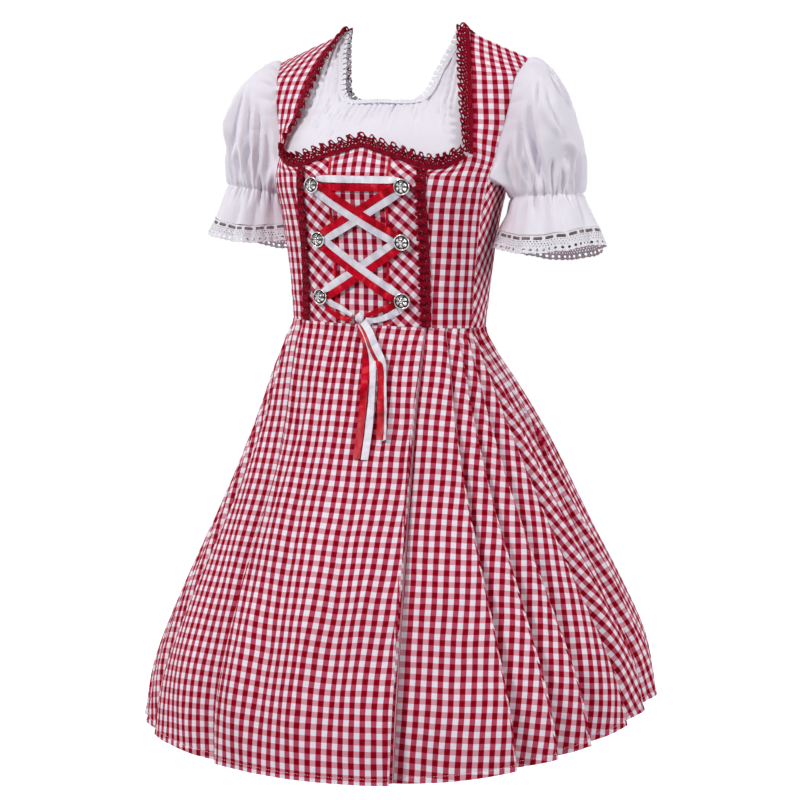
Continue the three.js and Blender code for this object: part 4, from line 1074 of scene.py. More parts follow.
def blouse_piece(name, control, seed, neck, reach, count, creases=()):
    """A piece of the blouse, with a count of gathers from its neck's height down over a reach."""
    grid = refined_both(control, 6, 7)
    cloth = threads(grid, grid.shape[1] // 2)
    x, z = grid[..., 0], grid[..., 2]
    fall = np.clip((neck - z) / reach, 0, 1)
    fan = x / (1 + 0.35 * fall)
    drawn = gathers(fan / 130 + 0.5, seed, count, 0.8) * (1 - smooth(fall)) ** 1.4
    shown = (np.abs(x) < 112) * smooth((OPEN_TO - np.abs(x)) / OPEN_FADE)
    out = NECK_GATHERS * drawn * shown - BLOUSE_SEAM_DIP * (1 - smooth(from_edge(grid, 3)))
    out += 0.4 * wander(cloth[..., 1] * 0.06 + cloth[..., 0] * 0.05, seed + 5) * smooth((z + 175) / 20)
    out += creased(stacked(x, z), creases)
    grid = trimmed(pushed(grid, np.nan_to_num(out) - BLOUSE_IN, ridge=True))
    shell(name, grid, cloth, "cotton", ridge=True)


blouse_front = blouse_control(True, front_angles, CHEST, FRONT_PLACES, 0)
blouse_back = blouse_control(False, back_angles, BLADES, BACK_PLACES, BLOUSE_BACK_RISE)
blouse_piece("blouse_front", blouse_front, 71, -103, 96, 15, BLOUSE_CREASES)
blouse_piece("blouse_back", blouse_back, 81, -98, 46, 13)

# ---- Sleeves

under_arm = [ring(column(ARMPIT, 1, a), a) for a in np.radians((84, 95, 105))]
ARMHOLE = [row[0] for row in CHEST[::-1]] + [ring(LEVELS[-1], SIDE_FRONT)]
ARMHOLE += [*under_arm, ring(LEVELS[-1], SIDE_BACK)] + [row[0] for row in BLADES[:-1]]
# Directions at the armhole's top, front, bottom and back: out of the cloth there, and off its edge
ARMHOLE_OUT = ((0.39, 0, 0.92), (0.43, -0.88, 0.2), (1, 0, 0), (0.27, 0.95, 0.15))
ARMHOLE_OFF = ((0.92, 0, -0.39), (0.9, 0.43, 0), (0, 0, 1), (0.96, -0.27, 0))


def cuff_point(start, end, t, turn):
    """A point of a sleeve between two of its rings, at a turn from the outer side towards the front."""
    size = {key: mix(start[key], end[key], t) for key in SLEEVE_KEYS}
    side, ahead = np.cos(turn), np.sin(turn)
    wave = size["wave"] * (1 - 0.6 * np.maximum(0, -side)) * np.cos(CUFF_WAVES * turn)
    lift = t if start is ELASTIC else 1
    up = size["outer"] * side - size["back"] * ahead + CUFF_SIDES_UP * lift * (side**2 - 0.5)
    x = size["x"] + (size["across"] + wave) * side
    return stacked(x, size["y"] - (size["along"] + wave) * ahead, size["z"] + up)


sleeve_turn = once_round(300)
PUFF_ROWS = np.concatenate([[0, 0.006, 0.015], np.linspace(0.03, 1, 52)])


def puff():
    """Rows of the sleeve from the armhole to the elastic."""
    share = sleeve_turn / (2 * math.pi)
    spans, _ = even_spans(ARMHOLE, CURVE_STEPS, True)
    edge = curve(ARMHOLE, np.interp(share, np.linspace(0, 1, CURVE_STEPS), spans), True)
    out, off = (unit(curve(way, share * len(way), True)) for way in (ARMHOLE_OUT, ARMHOLE_OFF))
    high, ahead = np.cos(sleeve_turn), np.sin(sleeve_turn)
    top, under = np.maximum(0, high) ** 2, np.maximum(0, -high) ** 2

    def blend(key):
        return (PUFF_TOP[key] * top + PUFF_UNDER[key] * under + PUFF_SIDE[key] * (1 - top - under))[:, None]

    fore = (ahead * np.maximum(0, high))[:, None]
    short = (1 - PUFF_SHORT * bell(np.maximum(0, -high) - 0.72, 0.3))[:, None]
    swell = (np.maximum(0, ahead) * bell(-high - 0.2, 0.35))[:, None]
    leave = off * blend("along") + out * (blend("out") + PUFF_FORE["out"] * fore)
    leave = leave * blend("leave") * (1 + PUFF_FORE["leave"] * fore) * (1 + PUFF_SWELL * swell) * short
    arrive = stacked(-PUFF_IN * high, PUFF_IN * ahead, -1) * blend("arrive") * short
    start, end = edge + off * PUFF_OFF + out * PUFF_RISE, cuff_point(ELASTIC, CUFF, 0, sleeve_turn)
    return [edge + off * SLEEVE_SEAM_OFF - out * SEAM_DEPTH] + [
        hermite(start, end, leave, arrive, t) for t in PUFF_ROWS
    ]


# Folds of the puffs: at their two ends, degrees round from the outer side towards the front and height;
# then width, depth (below 0 for a trough) and bend
LEFT_FOLDS = (
    (99, -84, 70, -219, 5, -9, 6), (114, -112, 93, -219, 4.6, -8, 4), (124, -150, 126, -219, 4.2, -6.5, 2),
    (92, -140, 82, -219, 4, -6, -3), (90, -60, 80, -112, 4.4, -6, 3), (62, -172, 59, -220, 4, -7, 3),
    (50, -182, 47, -220, 3.6, -6.5, -2), (32, -172, 35, -220, 4.2, -7.5, -3),
    (16, -158, 20, -220, 4, -6.5, 2), (80, -86, 52, -150, 6, 4, 4), (56, -152, 18, -168, 6, 4.5, -5),
    (52, -172, 22, -182, 7, -6, -4), (72, -76, 46, -146, 5, -5, 5), (54, -52, 36, -98, 4.6, -6.5, 5),
    (34, -100, 16, -92, 5.5, -3.5, 4), (36, -46, 22, -84, 4.4, -5, 3), (12, -44, 2, -110, 5, -5, -3),
    (-16, -46, -30, -150, 5, -6.5, -5), (-2, -150, -6, -220, 4.4, -6, 3),
    (-44, -60, -60, -190, 5.5, -7, -5), (-30, -150, -34, -220, 4.2, -6, 2),
    (-76, -80, -84, -218, 5, -6.5, 4), (-104, -100, -104, -218, 4.6, -5.5, 3),
    (-58, -160, -58, -220, 4, -5.5, 2), (150, -160, 150, -219, 4, -4.5, 2),
    (-132, -150, -130, -219, 4.4, -4.5, 2), (104, -160, 108, -220, 3.6, 3, 2),
)
RIGHT_FOLDS = (
    (84, -66, 55, -196, 5, -8, 9), (96, -72, 88, -210, 5, -8.5, 6), (112, -90, 106, -219, 4.6, -8, 4),
    (70, -58, 40, -150, 4.6, -6.5, 8), (76, -130, 72, -220, 4.2, -6.5, 3),
    (124, -120, 122, -219, 4.2, -7, 3), (100, -150, 98, -220, 3.8, -6, -2),
    (60, -176, 62, -220, 4, -6.5, 2), (46, -160, 48, -220, 4.2, -6.5, -2), (64, -92, 50, -168, 6, 4, 5),
    (104, -104, 96, -170, 5.5, 3.6, 3), (134, -150, 136, -219, 4, -5.5, 2), (50, -46, 30, -92, 4.4, -6, 4),
    (30, -50, 14, -120, 5, -5.5, 4), (24, -150, 28, -220, 4.4, -6, -3), (8, -44, -2, -110, 5, -5, -3),
    (2, -150, 4, -220, 4.4, -6, 3), (-22, -46, -34, -150, 5, -6, -5), (-26, -158, -28, -220, 4.2, -6, 2),
    (-50, -60, -62, -186, 5.5, -7, -5), (-56, -160, -54, -220, 4, -5.5, 2),
    (-80, -80, -86, -218, 5, -6.5, 4), (-108, -100, -106, -218, 4.6, -5.5, 3),
    (150, -162, 152, -219, 4, -4.5, 2),
)
DEGREE = 58 * math.pi / 180  # a degree round the puff, in mm
FLOUNCE_ROWS = 12
# Gathers under the sleeve's cap, on both sides of the elastic, at it and down the flounce: how deep and how
# many round the arm, and how keen they are
CAP, ELASTIC_BANDS, ELASTIC_FINE, FLOUNCE = (2.4, 24, 0.8), (3.6, 19, 0.7), (2.2, 41, 0.8), (2.4, 13, 1.0)


def gathered(band, share, seed):
    depth, count, keenness = band
    return depth * gathers(share, seed, count, keenness)


def sleeve_grid(table, seed):
    """The wearer's left sleeve with a table of folds."""
    flounce = np.linspace(0, 1, FLOUNCE_ROWS + 1)[1:]
    grid = np.array(puff() + [cuff_point(ELASTIC, CUFF, t, sleeve_turn) for t in flounce])
    steps = np.linalg.norm(np.diff(grid, axis=0), axis=-1)
    far = np.pad(np.cumsum(steps, 0), ((1, 0), (0, 0)))
    past = far - far[-1 - FLOUNCE_ROWS]
    z = grid[..., 2]
    degrees = np.degrees(np.arctan2(ELASTIC["y"] - grid[..., 1], grid[..., 0] - ELASTIC["x"]))
    share = (sleeve_turn / (2 * math.pi))[None, :] + 0 * far
    over_top = smooth((np.cos(sleeve_turn) + 0.1) / 0.7)
    above = smooth(1 + past / 52) * (past <= 0)
    below = smooth(1 - past / 40) * (past > 0)
    out = creased(stacked(degrees, z), table, (DEGREE, 1)) * smooth(far / 10) * (past <= 0)
    out += gathered(CAP, share, seed) * (1 - smooth(far / 40)) * smooth(far / 6) * over_top
    out += gathered(ELASTIC_BANDS, share, seed + 9) * (above**1.3 + 0.85 * below)
    out += gathered(ELASTIC_FINE, share, seed + 15) * bell(past, 13) - 2.0 * bell(past, 3.4)
    out += gathered(FLOUNCE, share, seed + 21) * smooth((past - 4) / 30)
    out += 0.8 * wander(z * 0.05 + degrees * DEGREE * 0.035, seed + 30) * smooth(far / 30)
    return pushed(grid, out, loop=True)


for (side, word), table in zip(SIDES, (LEFT_FOLDS, RIGHT_FOLDS)):
    grid = sided(sleeve_grid(table, 91 + side), side)
    shell(f"sleeve_{word}", grid, threads(grid, 0, loop=True), "cotton", loop=True)

# ---- Lace


def edge_frames(at, out, cell, loop=False):
    """Points a cell apart along an edge, the directions out of its cloth and past it, and its length."""
    length = even_spans(at, 2, loop)[1]
    spans, _ = even_spans(at, int(round(length / cell)) + 1, loop)
    place, away = curve(at, spans, loop), unit(curve(out, spans, loop))
    if loop:
        steps = np.roll(place[:-1], -1, 0) - np.roll(place[:-1], 1, 0)
        along = unit(np.concatenate([steps, steps[:1]]))
    else:
        along = unit(np.gradient(place, axis=0))
    return place, away, unit(np.cross(away, along)), length


def edge_out(table, key, turn):
    """Outward directions at each row of a table's neck edge. The last row is on the shoulder."""
    found = []
    for i, row in enumerate(table[:-1]):
        across = np.subtract(row[0], row[key])
        up = np.subtract(table[i + 1][key], table[max(i - 1, 0)][key])
        found.append(tuple(unit(np.cross(across, up) * turn)))
    return found + [(0.2, 0, 0.98)]


def shoulder_edge(key, first, last):
    """The edge of one side's strap or neck, from the front over the shoulder to the back."""
    at = [row[key] for row in CHEST[first:]] + [row[key] for row in BLADES[last:-1]][::-1]
    out = edge_out(CHEST, key, 1)[first:] + edge_out(BLADES, key, -1)[last:-1][::-1]
    return np.array(at, float), np.array(out, float)


# A lace along an edge: how far it reaches below and past it, its frills' period and swing, how far its foot
# and its free edge stand off, how strongly it is gathered, and the size of its mesh's cells
LACE_KEYS = ("down", "up", "period", "swing", "base", "stand", "gather", "cell")
RUFFLE = dict(zip(LACE_KEYS, (3.5, 15, 13.5, 4.6, 1.5, 4.6, 1, 0.95)))
STRAP_RUFFLE = {**RUFFLE, "base": 2.2, "stand": 3.6}
NECK_LACE = dict(zip(LACE_KEYS, (3, 9, 26, 0.5, 0.5, 0.6, 0.3, 1.05)))
NECK_RUFFLE_END = 135  # how far from the centre the front ruffle ends
BACK_RUFFLE_END = 1.9  # the place on its row where the back ruffle starts
LACE_WALL = 0.7


def scallops(s, step, deep, power):
    """How far a lace's edge dips below its highest points."""
    return deep * np.abs(np.sin(math.pi * s / step)) ** power - deep


def hole(s, step, r, at, size, shift=0.0):
    """Round holes a step apart along a lace."""
    return np.hypot((s + shift) % step - step / 2, r - at) < size


def ruffle_holes(s, r, high):
    """Where the red crochet has thread: a foot, two rows of small holes and loops under its edge."""
    first, second = hole(s, 3.8, r, 6.9, 0.9), hole(s, 3.8, r, 10.4, 0.95, 1.9)
    return (r < high + scallops(s, 5.7, 1.4, 0.7)) & ~first & ~second & ~hole(s, 5.7, r, high - 3.4, 1.65)


def edging_holes(s, r, high):
    """The blouse's narrow neck edging: small eyelets and round scallops."""
    eyes, small = hole(s, 9, r, high - 4.2, 1.9, 4.5), hole(s, 4.5, r, high - 8, 1.0)
    return (r < high + scallops(s, 9, 2.8, 0.6)) & ~eyes & ~small


def front_of_neck(place):
    """1 across the front, where the blouse's edge is a narrow gathered band, and 0 elsewhere."""
    return smooth((62 - np.abs(place[:, 0])) / 14) * (place[:, 1] < -30)


def middles(line):
    return (line[:-1] + line[1:]) / 2


def edge_lace(name, edge, size, holes, material, seed, loop=False):
    """Lace along an edge, with holes where its pattern has no thread. Only the blouse's edge is a loop."""
    place, away, beyond, length = edge_frames(*edge, size["cell"], loop)
    s, high = np.linspace(0, length, len(place)), size["down"] + size["up"]
    reach = np.linspace(0, high, int(round(high / size["cell"])) + 1)[:, None]
    share = reach / high
    frills = 2 * math.pi * s / size["period"] + 1.3 * wander(s / 40, seed)
    small = np.sin(2 * math.pi * s / (size["period"] * 0.43) + 1.4 * wander(s / 27, seed + 1))
    swing = size["swing"] * (np.sin(frills) + 0.25 * small) * share**1.2 * size["gather"]
    stand = size["base"] + size["stand"] * smooth(share * 1.25) + swing
    lean = -0.085 * size["period"] * np.sin(2 * frills) * share**0.8 * size["gather"]
    frill = np.abs(np.cos(frills / 2 - math.pi / 4)) ** 0.55
    up = reach - size["down"] + 1.1 * size["swing"] * (frill - 1) * share**1.5
    keep = holes(middles(s), middles(reach), high)
    if loop:
        band = front_of_neck(place)
        tucks = np.sin(2 * math.pi * s / 4.3 + 1.5 * wander(s / 15, seed + 2))
        stand = stand + 0.9 * band * tucks * share**0.5
        up = up - 0.78 * band * (reach - size["down"] - 1.5).clip(0)
        keep |= band[:-1] > 0.5
    grid = place + beyond * up[..., None] + away * stand[..., None]
    grid = grid + np.cross(beyond, away) * lean[..., None]
    grid = grid[:, :-1] if loop else grid
    shell(name, grid, stacked(s, reach), material, LACE_WALL, loop=loop, keep=keep, soften=2)


def neck_front_frames():
    x = np.linspace(-NECK_RUFFLE_END, NECK_RUFFLE_END, 13)
    z = neckline(x)
    return on_front(x, z), outward(z, angle_at(z, x))


def neck_back_frames():
    half = upper_row(BLADES[NECK_ROW], (BACK_RUFFLE_END, 2, 2.33, 2.67, 3))
    out = np.array([(x, 1, 0.1) for x in (0.35, 0.3, 0.15, 0.05, 0)], float)
    return (np.concatenate([half, flip(half[-2::-1])]), np.concatenate([out, flip(out[-2::-1])]))


def blouse_neck_frames():
    at, out = shoulder_edge(2, 3, NECK_ROW)
    at[-1] += BLOUSE_BACK_RISE
    back = np.array(BLADES[NECK_ROW][3], float) + BLOUSE_BACK_RISE
    whole = np.concatenate([[CHEST[3][3]], at, [back], flip(at[::-1])])
    return whole, np.concatenate([[(0, -0.7, 0.7)], out, [(0, 1, 0.1)], flip(out[::-1])])


def other_side(frames):
    """The mirror image of an edge, run the other way so that its lace still faces out."""
    return tuple(flip(part[::-1]) for part in frames)


def red_ruffle(name, edge, size, seed):
    edge_lace(f"neck_ruffle_{name}", edge, size, ruffle_holes, "red_lace", seed)


strap_edge = shoulder_edge(1, 0, NECK_ROW)
red_ruffle("front", neck_front_frames(), RUFFLE, 5)
red_ruffle("back", neck_back_frames(), RUFFLE, 6)
red_ruffle("left", strap_edge, STRAP_RUFFLE, 7)
red_ruffle("right", other_side(strap_edge), STRAP_RUFFLE, 8)
edge_lace("blouse_neck_lace", blouse_neck_frames(), NECK_LACE, edging_holes, "white_lace", 9, loop=True)


CUFF_AROUND, CUFF_HIGH = 440, 24.0  # the cuff lace's own length and height
# The dark band behind the cuff lace's ladder, painted shade seen through its holes: its rows of the lace's
# grid and its thickness
LADDER_SHADE_ROWS = (2, 7)
LADDER_SHADE_WALL = 0.3


def cuff_holes(s, r, high):
    """The cuff's beading lace: a ladder for a ribbon, a net of small holes, and eyelets along scallops."""
    ladder = (np.abs((s % 16) - 8) < 6) & (np.abs(r - 4) < 1.6)
    net = (r > 7) & (r < 15.9) & (np.floor(r) % 3 > 0) & ((s + 2 * np.floor(r / 3)) % 4 < 2)
    return (r < high + scallops(s, 8, 1.9, 0.7)) & ~ladder & ~net & ~hole(s, 8, r, high - 4.9, 1.75, 4)


def cuff_lace(side, word):
    """The lace sewn to a sleeve's flounce, and a dark band behind its ladder: painted shade seen through the
    ladder's holes.
    """
    s = np.arange(CUFF_AROUND + 1) * 1.0
    share, turn = s[:-1] / CUFF_AROUND, once_round(CUFF_AROUND)
    reach = np.linspace(0.03, 1, 25)
    grid = sided(np.array([cuff_point(CUFF, LACE_EDGE, t, turn) for t in reach]), side)
    out = gathered(FLOUNCE, share, 91 + side + 21) + 0.4 * gathers(share, 130 + side, 38, 1.0)
    grid = pushed(grid, out * mix(0.75, 1, reach)[:, None], loop=True)
    r = np.linspace(0, CUFF_HIGH, len(reach))[:, None]
    keep = cuff_holes(middles(s), middles(r), CUFF_HIGH)
    cloth = stacked(s, r)
    # The dark band behind the ladder is painted shade seen through its holes
    band, rows = pushed(grid, -LACE_WALL - LADDER_SHADE_WALL, loop=True), list(LADDER_SHADE_ROWS)
    beading = f"cuff_beading_{word}"
    shell(beading, band[rows], cloth[rows], "beading_ribbon", LADDER_SHADE_WALL, loop=True, slot="white_lace")
    shell(f"cuff_lace_{word}", grid, cloth, "white_lace", LACE_WALL, loop=True, keep=keep, soften=2)


for side, word in SIDES:
    cuff_lace(side, word)

# ---- Pipings and lace strips

STACK = 0.3  # how far the trimmings stand off the cloth under them
PIPING_WIDTH, PIPING_HEIGHT, PIPING_END = 3.6, 1.5, -180
STRIP_FROM, STRIP_TO, STRIP_END = 80.5, 93.2, -193


def piping(side, word):
    z = np.linspace(WAIST + 0.5, PIPING_END, 110)
    x = side * piping_at(z)
    angle = angle_at(z, x)
    at, out = ring(z, angle, -0.1), outward(z, angle)
    across = unit(np.cross(unit(np.gradient(at, axis=0)), out))
    turn = once_round(12)
    twist = 0.08 * np.sin(z / 2.1)[:, None]
    wide = PIPING_WIDTH / 2 * np.cos(turn) * (1 + twist)
    tall = PIPING_HEIGHT * (0.55 + 0.5 * np.sin(turn)) + 0 * twist
    rings = at[:, None] + across[:, None] * wide[..., None] + out[:, None] * tall[..., None]
    tube(f"piping_{word}", rings[:, ::-1], "red_satin")


def strip_holes(s, r):
    """Where the lace strip has thread: a foot, two rows of small holes and a scalloped free edge."""
    return (r > -scallops(s, 6.5, 2.3, 0.7)) & ~hole(s, 3.6, r, 5.2, 1.05) & ~hole(s, 3.6, r, 8.6, 1.05, 1.8)


def lace_strip(side, word):
    z = np.linspace(WAIST + 0.5, STRIP_END, 202)[:, None]
    r = np.linspace(0, STRIP_TO - STRIP_FROM, 13)
    keep = strip_holes(middles(z), middles(r))
    cloth = stacked(r, z)
    frills = 2 * math.pi * z / 10.5 + 1.3 * wander(z / 30, 140 + side)
    free = 1 - r / (STRIP_TO - STRIP_FROM)
    x = STRIP_FROM + r - 2.2 * free**2 * np.abs(np.cos(frills / 2 - math.pi / 4))
    z = z - 0.8 * free * np.sin(2 * frills)
    out = STACK + LACE_WALL + 2.8 * free**0.8 * (0.95 + np.sin(frills)) + 0.3 * free * np.sin(z / 0.9)
    grid = on_front(x, z, out + 1.1 * bell(r - 11.4, 0.9))
    if side < 0:
        cloth, keep = cloth[:, ::-1], keep[:, ::-1]
    name = f"lace_strip_{word}"
    shell(name, sided(grid, side), cloth, "red_lace", LACE_WALL, keep=keep, soften=2)


for side, word in SIDES:
    piping(side, word)
    lace_strip(side, word)

# ---- Buttons

BUTTONS = ((64, -217), (60, -287), (58.5, -363))  # from the centre and height, from the top
# A button's profile: distance from its axis and height above its seat, then how strongly the petals show
BUTTON_PROFILE = (
    (2.3, 0, 0), (2.2, 2.4, 0), (2.3, 4.6, 0), (3.2, 4.9, 0), (6, 4.9, 0), (9.2, 5, 0), (10.2, 5.3, 0),
    (10.6, 5.9, 0), (10.5, 6.6, 0), (10, 7.1, 0), (9.4, 7.2, 0), (8.9, 6.9, 0), (8.6, 6.3, 0),
    (8.3, 6.2, 0), (7.9, 6.8, 0.2), (7.3, 7.6, 0.7), (6.5, 8.4, 1), (5.6, 9.1, 1), (4.7, 9.7, 1),
    (3.8, 10.15, 0.9), (3.1, 10.3, 0.3), (2.8, 10.2, 0), (2.5, 10.6, 0), (1.8, 11.1, 0), (0.9, 11.35, 0),
    (0.15, 11.4, 0),
)
PETALS = 6
UNDER_RIM = 5.2  # the height below which the silver is half as clean
# How clean the silver is rubbed at each distance from the axis
RUBBED_AT = (0, 2.3, 2.7, 3.3, 6, 7.9, 8.3, 8.8, 9.2, 10.6)
RUBBED = (0.95, 0.8, 0.1, 0.75, 0.85, 0.25, 0.05, 0.3, 1.0, 0.85)


def button(name, x, z):
    """A domed button on its shank, with a rim, a groove and a ring of plain petals."""
    profile = curve(BUTTON_PROFILE, np.linspace(0, len(BUTTON_PROFILE) - 1, 60))
    turn = once_round(72)
    radius, height, petal = profile.T[:, :, None]
    wave = np.abs(np.sin(PETALS / 2 * turn))
    height = height + petal * 0.75 * (wave**0.6 - 0.55) + petal * 0.25 * np.sin(turn * PETALS * 4)
    seat, out = on_front(x, z, STACK), outward(z, angle_at(z, x))
    right = unit(np.cross((0.0, 0.0, 1.0), out))
    side = np.cos(turn)[:, None] * right - np.sin(turn)[:, None] * np.cross(out, right)
    rings = seat + side * radius[..., None] + out * height[..., None]
    clean = mix(np.interp(radius, RUBBED_AT, RUBBED), 0.14 + 0.8 * wave**0.8, smooth(petal * 1.3))
    clean = closed((clean * np.where(height < UNDER_RIM, 0.5, 1))[:, ::-1])
    tube(name, rings[:, ::-1], "antique_silver", stacked(clean, clean / MM))


for row, (x, z) in enumerate(BUTTONS, 1):
    button(f"button_left_{row}", x, z)
    button(f"button_right_{row}", -x, z)

# ---- Ribbons

RIBBON_WIDTH, RIBBON_WALL = 9.5, 0.45
# The lowest ribbons' distance off the cloth, what each layer adds, the gap between the two of a pair, and how
# far from a button's axis they start
RIBBON_BASE, RIBBON_LAYER, RIBBON_GAP, RIBBON_START = 2.45, 0.9, 0.4, 4.5
# Pairs across the front: name, the rows of buttons at the right and left, how far above them, the layers
# under them, and the colour of the upper ribbon
CROSSINGS = (
    ("bar", 1, 1, 3, 0, "white"),
    ("upper_back", 2, 1, 0, 1, "red"),
    ("upper_front", 1, 2, 0, 2, "red"),
    ("lower_back", 3, 2, 0, 1, "white"),
    ("lower_front", 2, 3, 0, 2, "white"),
)
# How much a button gathers its ribbons, how far from it they widen again, and how far the ribbons in each
# layer sag at their middle
PINCH, PINCH_REACH, STRAND_SAG = 0.34, 8.0, (0.4, 1.2, 2.4)
LOOP_WIDTH = (1.0, 0.6)  # of the loops to the knot, at their ends
KNOT_AT, KNOT_SIZE = (1, -388, 8.5), (6.2, 4.0, 6.4)
# The loops from a lowest button to the knot, and the tails: place across, height and distance off the cloth
LOOPS = (
    ((53, -365, 1.7), (43, -371, 2.2), (28, -376, 4.2), (17, -381.5, 6.4), (9.6, -385, 7.6)),
    ((52, -376, 1.8), (41, -382.5, 2.8), (27, -388.5, 4.2), (17, -391, 6.4), (10.2, -390.4, 7.6)),
)
TAILS = {
    "short_red": (
        (5, -395.5, 7.4), (14, -409, 7.4), (26, -428, 6.4), (39, -449, 4.2), (44, -478, 3.4),
        (49, -510, 3.4), (53, -541, 3.4),
    ),
    "short_white": (
        (7, -394, 9.4), (18, -408, 9.4), (31, -427, 8.2), (44, -448, 5.6), (49.5, -478, 4.8),
        (54.5, -510, 4.8), (58.5, -542, 4.8),
    ),
    "long_red": (
        (-1, -396.5, 3.4), (7, -409, 2.2), (15, -425, 2), (20, -458, 2), (22.5, -491, 2), (25, -530, 2),
        (26.6, -565, 2),
    ),
    "long_white": (
        (1.5, -396.5, 5.2), (13, -411, 3.8), (24, -431, 3.4), (31, -462, 2.6), (33.5, -491, 2),
        (36, -530, 2), (37.6, -566, 2),
    ),
}
TAIL_WALL = 0.6


RIBBON_STEP, RIBBON_COLUMNS = 1.6, 11


def ribbon(name, points, colour, seed, narrow=(1, 1), wall=RIBBON_WALL, cup=0.4, twist=(), pinch=0.0):
    """A ribbon along points given by place across, height and distance of its inner face off the dress.

    A twist gives the shares of its length where it starts and ends, and how many degrees it turns. A pinch
    is how much narrower the ribbon is at its ends."""
    far = np.linalg.norm(np.diff(points, axis=0), axis=1).sum()
    spans, length = even_spans(points, int(round(far / RIBBON_STEP)))
    x, z, off = curve(points, spans).T
    angle = angle_at(z, x)
    at, out = ring(z, angle, off + wall), outward(z, angle)
    along = unit(np.gradient(at, axis=0))
    across = unit(np.cross(out, along))
    out = unit(np.cross(along, across))
    t = np.linspace(0, 1, len(at))[:, None]
    lean = sum((math.radians(by) * smooth((t - a) / (b - a)) for a, b, by in twist), 0 * t)
    across, out = across * np.cos(lean) + out * np.sin(lean), out * np.cos(lean) - across * np.sin(lean)
    share = np.linspace(-1, 1, RIBBON_COLUMNS)
    ends = bell(t * length, PINCH_REACH) + bell((1 - t) * length, PINCH_REACH)
    half = RIBBON_WIDTH / 2 * mix(*narrow, t) * (1 - pinch * ends)
    rise = cup * (1 - share**2) * (0.6 + 0.7 * wander(t * 7, seed)) + 0.3 * wander(t * 16, seed + 1) * share
    rise = rise + 0.12 * smooth((np.abs(share) - 0.8) / 0.2)
    grid = at[:, None] + across[:, None] * (half * share)[..., None] + out[:, None] * rise[..., None]
    grid = grid.swapaxes(0, 1)[::-1]
    cloth = stacked(RIBBON_WIDTH / 2 * share[::-1, None], t.T * length)
    middle = len(at) // 2
    if normals(grid)[RIBBON_COLUMNS // 2, middle] @ out[middle] < 0:
        grid, cloth = grid[::-1], cloth[::-1]
    return shell(name, grid, cloth, f"{colour}_satin", wall), at


def strand(name, start, end, shift, layer, colour, seed):
    """A ribbon from one button to another, a shift to the side of the line between them."""
    start, end = np.array(start), np.array(end)
    length = np.linalg.norm(end - start)
    way = (end - start) / length
    t = np.linspace(RIBBON_START / length, 1 - RIBBON_START / length, 9)
    x = mix(start[0], end[0], t) - way[1] * shift
    z = mix(start[1], end[1], t) + way[0] * shift - STRAND_SAG[layer] * np.sin(math.pi * t)
    twist = ((0, 0.06, 26), (0.06, 0.16, -26)) if (layer, colour) == (0, "red") else ()
    points = stacked(x, z, RIBBON_BASE + RIBBON_LAYER * layer)
    ribbon(name, points, colour, seed, twist=twist, pinch=PINCH)


SHIFT = (RIBBON_WIDTH + RIBBON_GAP) / 2
for number, (name, right, left, rise, layer, upper) in enumerate(CROSSINGS):
    low, high = BUTTONS[right - 1], BUTTONS[left - 1]
    ends = (-low[0], low[1] + rise), (high[0], high[1] + rise)
    lower = "white" if upper == "red" else "red"
    strand(f"ribbon_{name}_{upper}", *ends, SHIFT, layer, upper, 150 + number)
    strand(f"ribbon_{name}_{lower}", *ends, -SHIFT, layer, lower, 160 + number)

for (side, word), colours, seed in zip(SIDES, (("red", "white"), ("white", "red")), (170, 172)):
    for row, colour in enumerate(colours):
        points = np.array(LOOPS[row]) * (side, 1, 1)
        ribbon(f"ribbon_loop_{word}_{colour}", points, colour, seed + row, LOOP_WIDTH, cup=1.0)


def knot():
    """The small knot: a ball of wrapped ribbon."""
    a, b = np.linspace(0.06, math.pi - 0.06, 48)[:, None], once_round(56)
    x, y, z = np.cos(a), np.sin(a) * np.cos(b), np.sin(a) * np.sin(b)
    wrap, fold = np.sin(5.2 * x + 1.4 * z), np.sin(9 * x - 4 * z + 1.0)
    swell = 0.1 * wrap + 0.05 * fold - 0.16 * bell(x - 0.15 * z, 0.16)
    ball = stacked(x, y, z) * KNOT_SIZE * (0.97 + swell * np.sin(a))[..., None]
    tube("ribbon_knot", on_front(*KNOT_AT) + ball, "white_satin")


knot()
TAIL_TWISTS = {
    "short_red": ((0.25, 0.4, 22), (0.55, 0.75, -18)),
    "short_white": ((0.28, 0.5, 50),),
    "long_red": ((0.1, 0.25, -18), (0.5, 0.7, 18)),
    "long_white": ((0.15, 0.3, 16), (0.6, 0.8, -20)),
}
for number, (name, points) in enumerate(TAILS.items()):
    made, at = ribbon(
        f"ribbon_end_{name}", points, name.split("_")[1], 180 + number, wall=TAIL_WALL, cup=0.3,
        twist=TAIL_TWISTS[name],
    )
    at = settled(at) * MM

# ---- Stitches

STITCH = {"length": 2.2, "step": 3.3, "width": 0.55, "height": 0.4}
# Rings along a stitch: place along it as a share of its length, size as a share, and height
STITCH_RINGS = ((-0.5, 0.35, -0.25), (-0.3, 1, 0.05), (0.3, 1, 0.05), (0.5, 0.35, -0.25))
STITCH_SIDES = 4


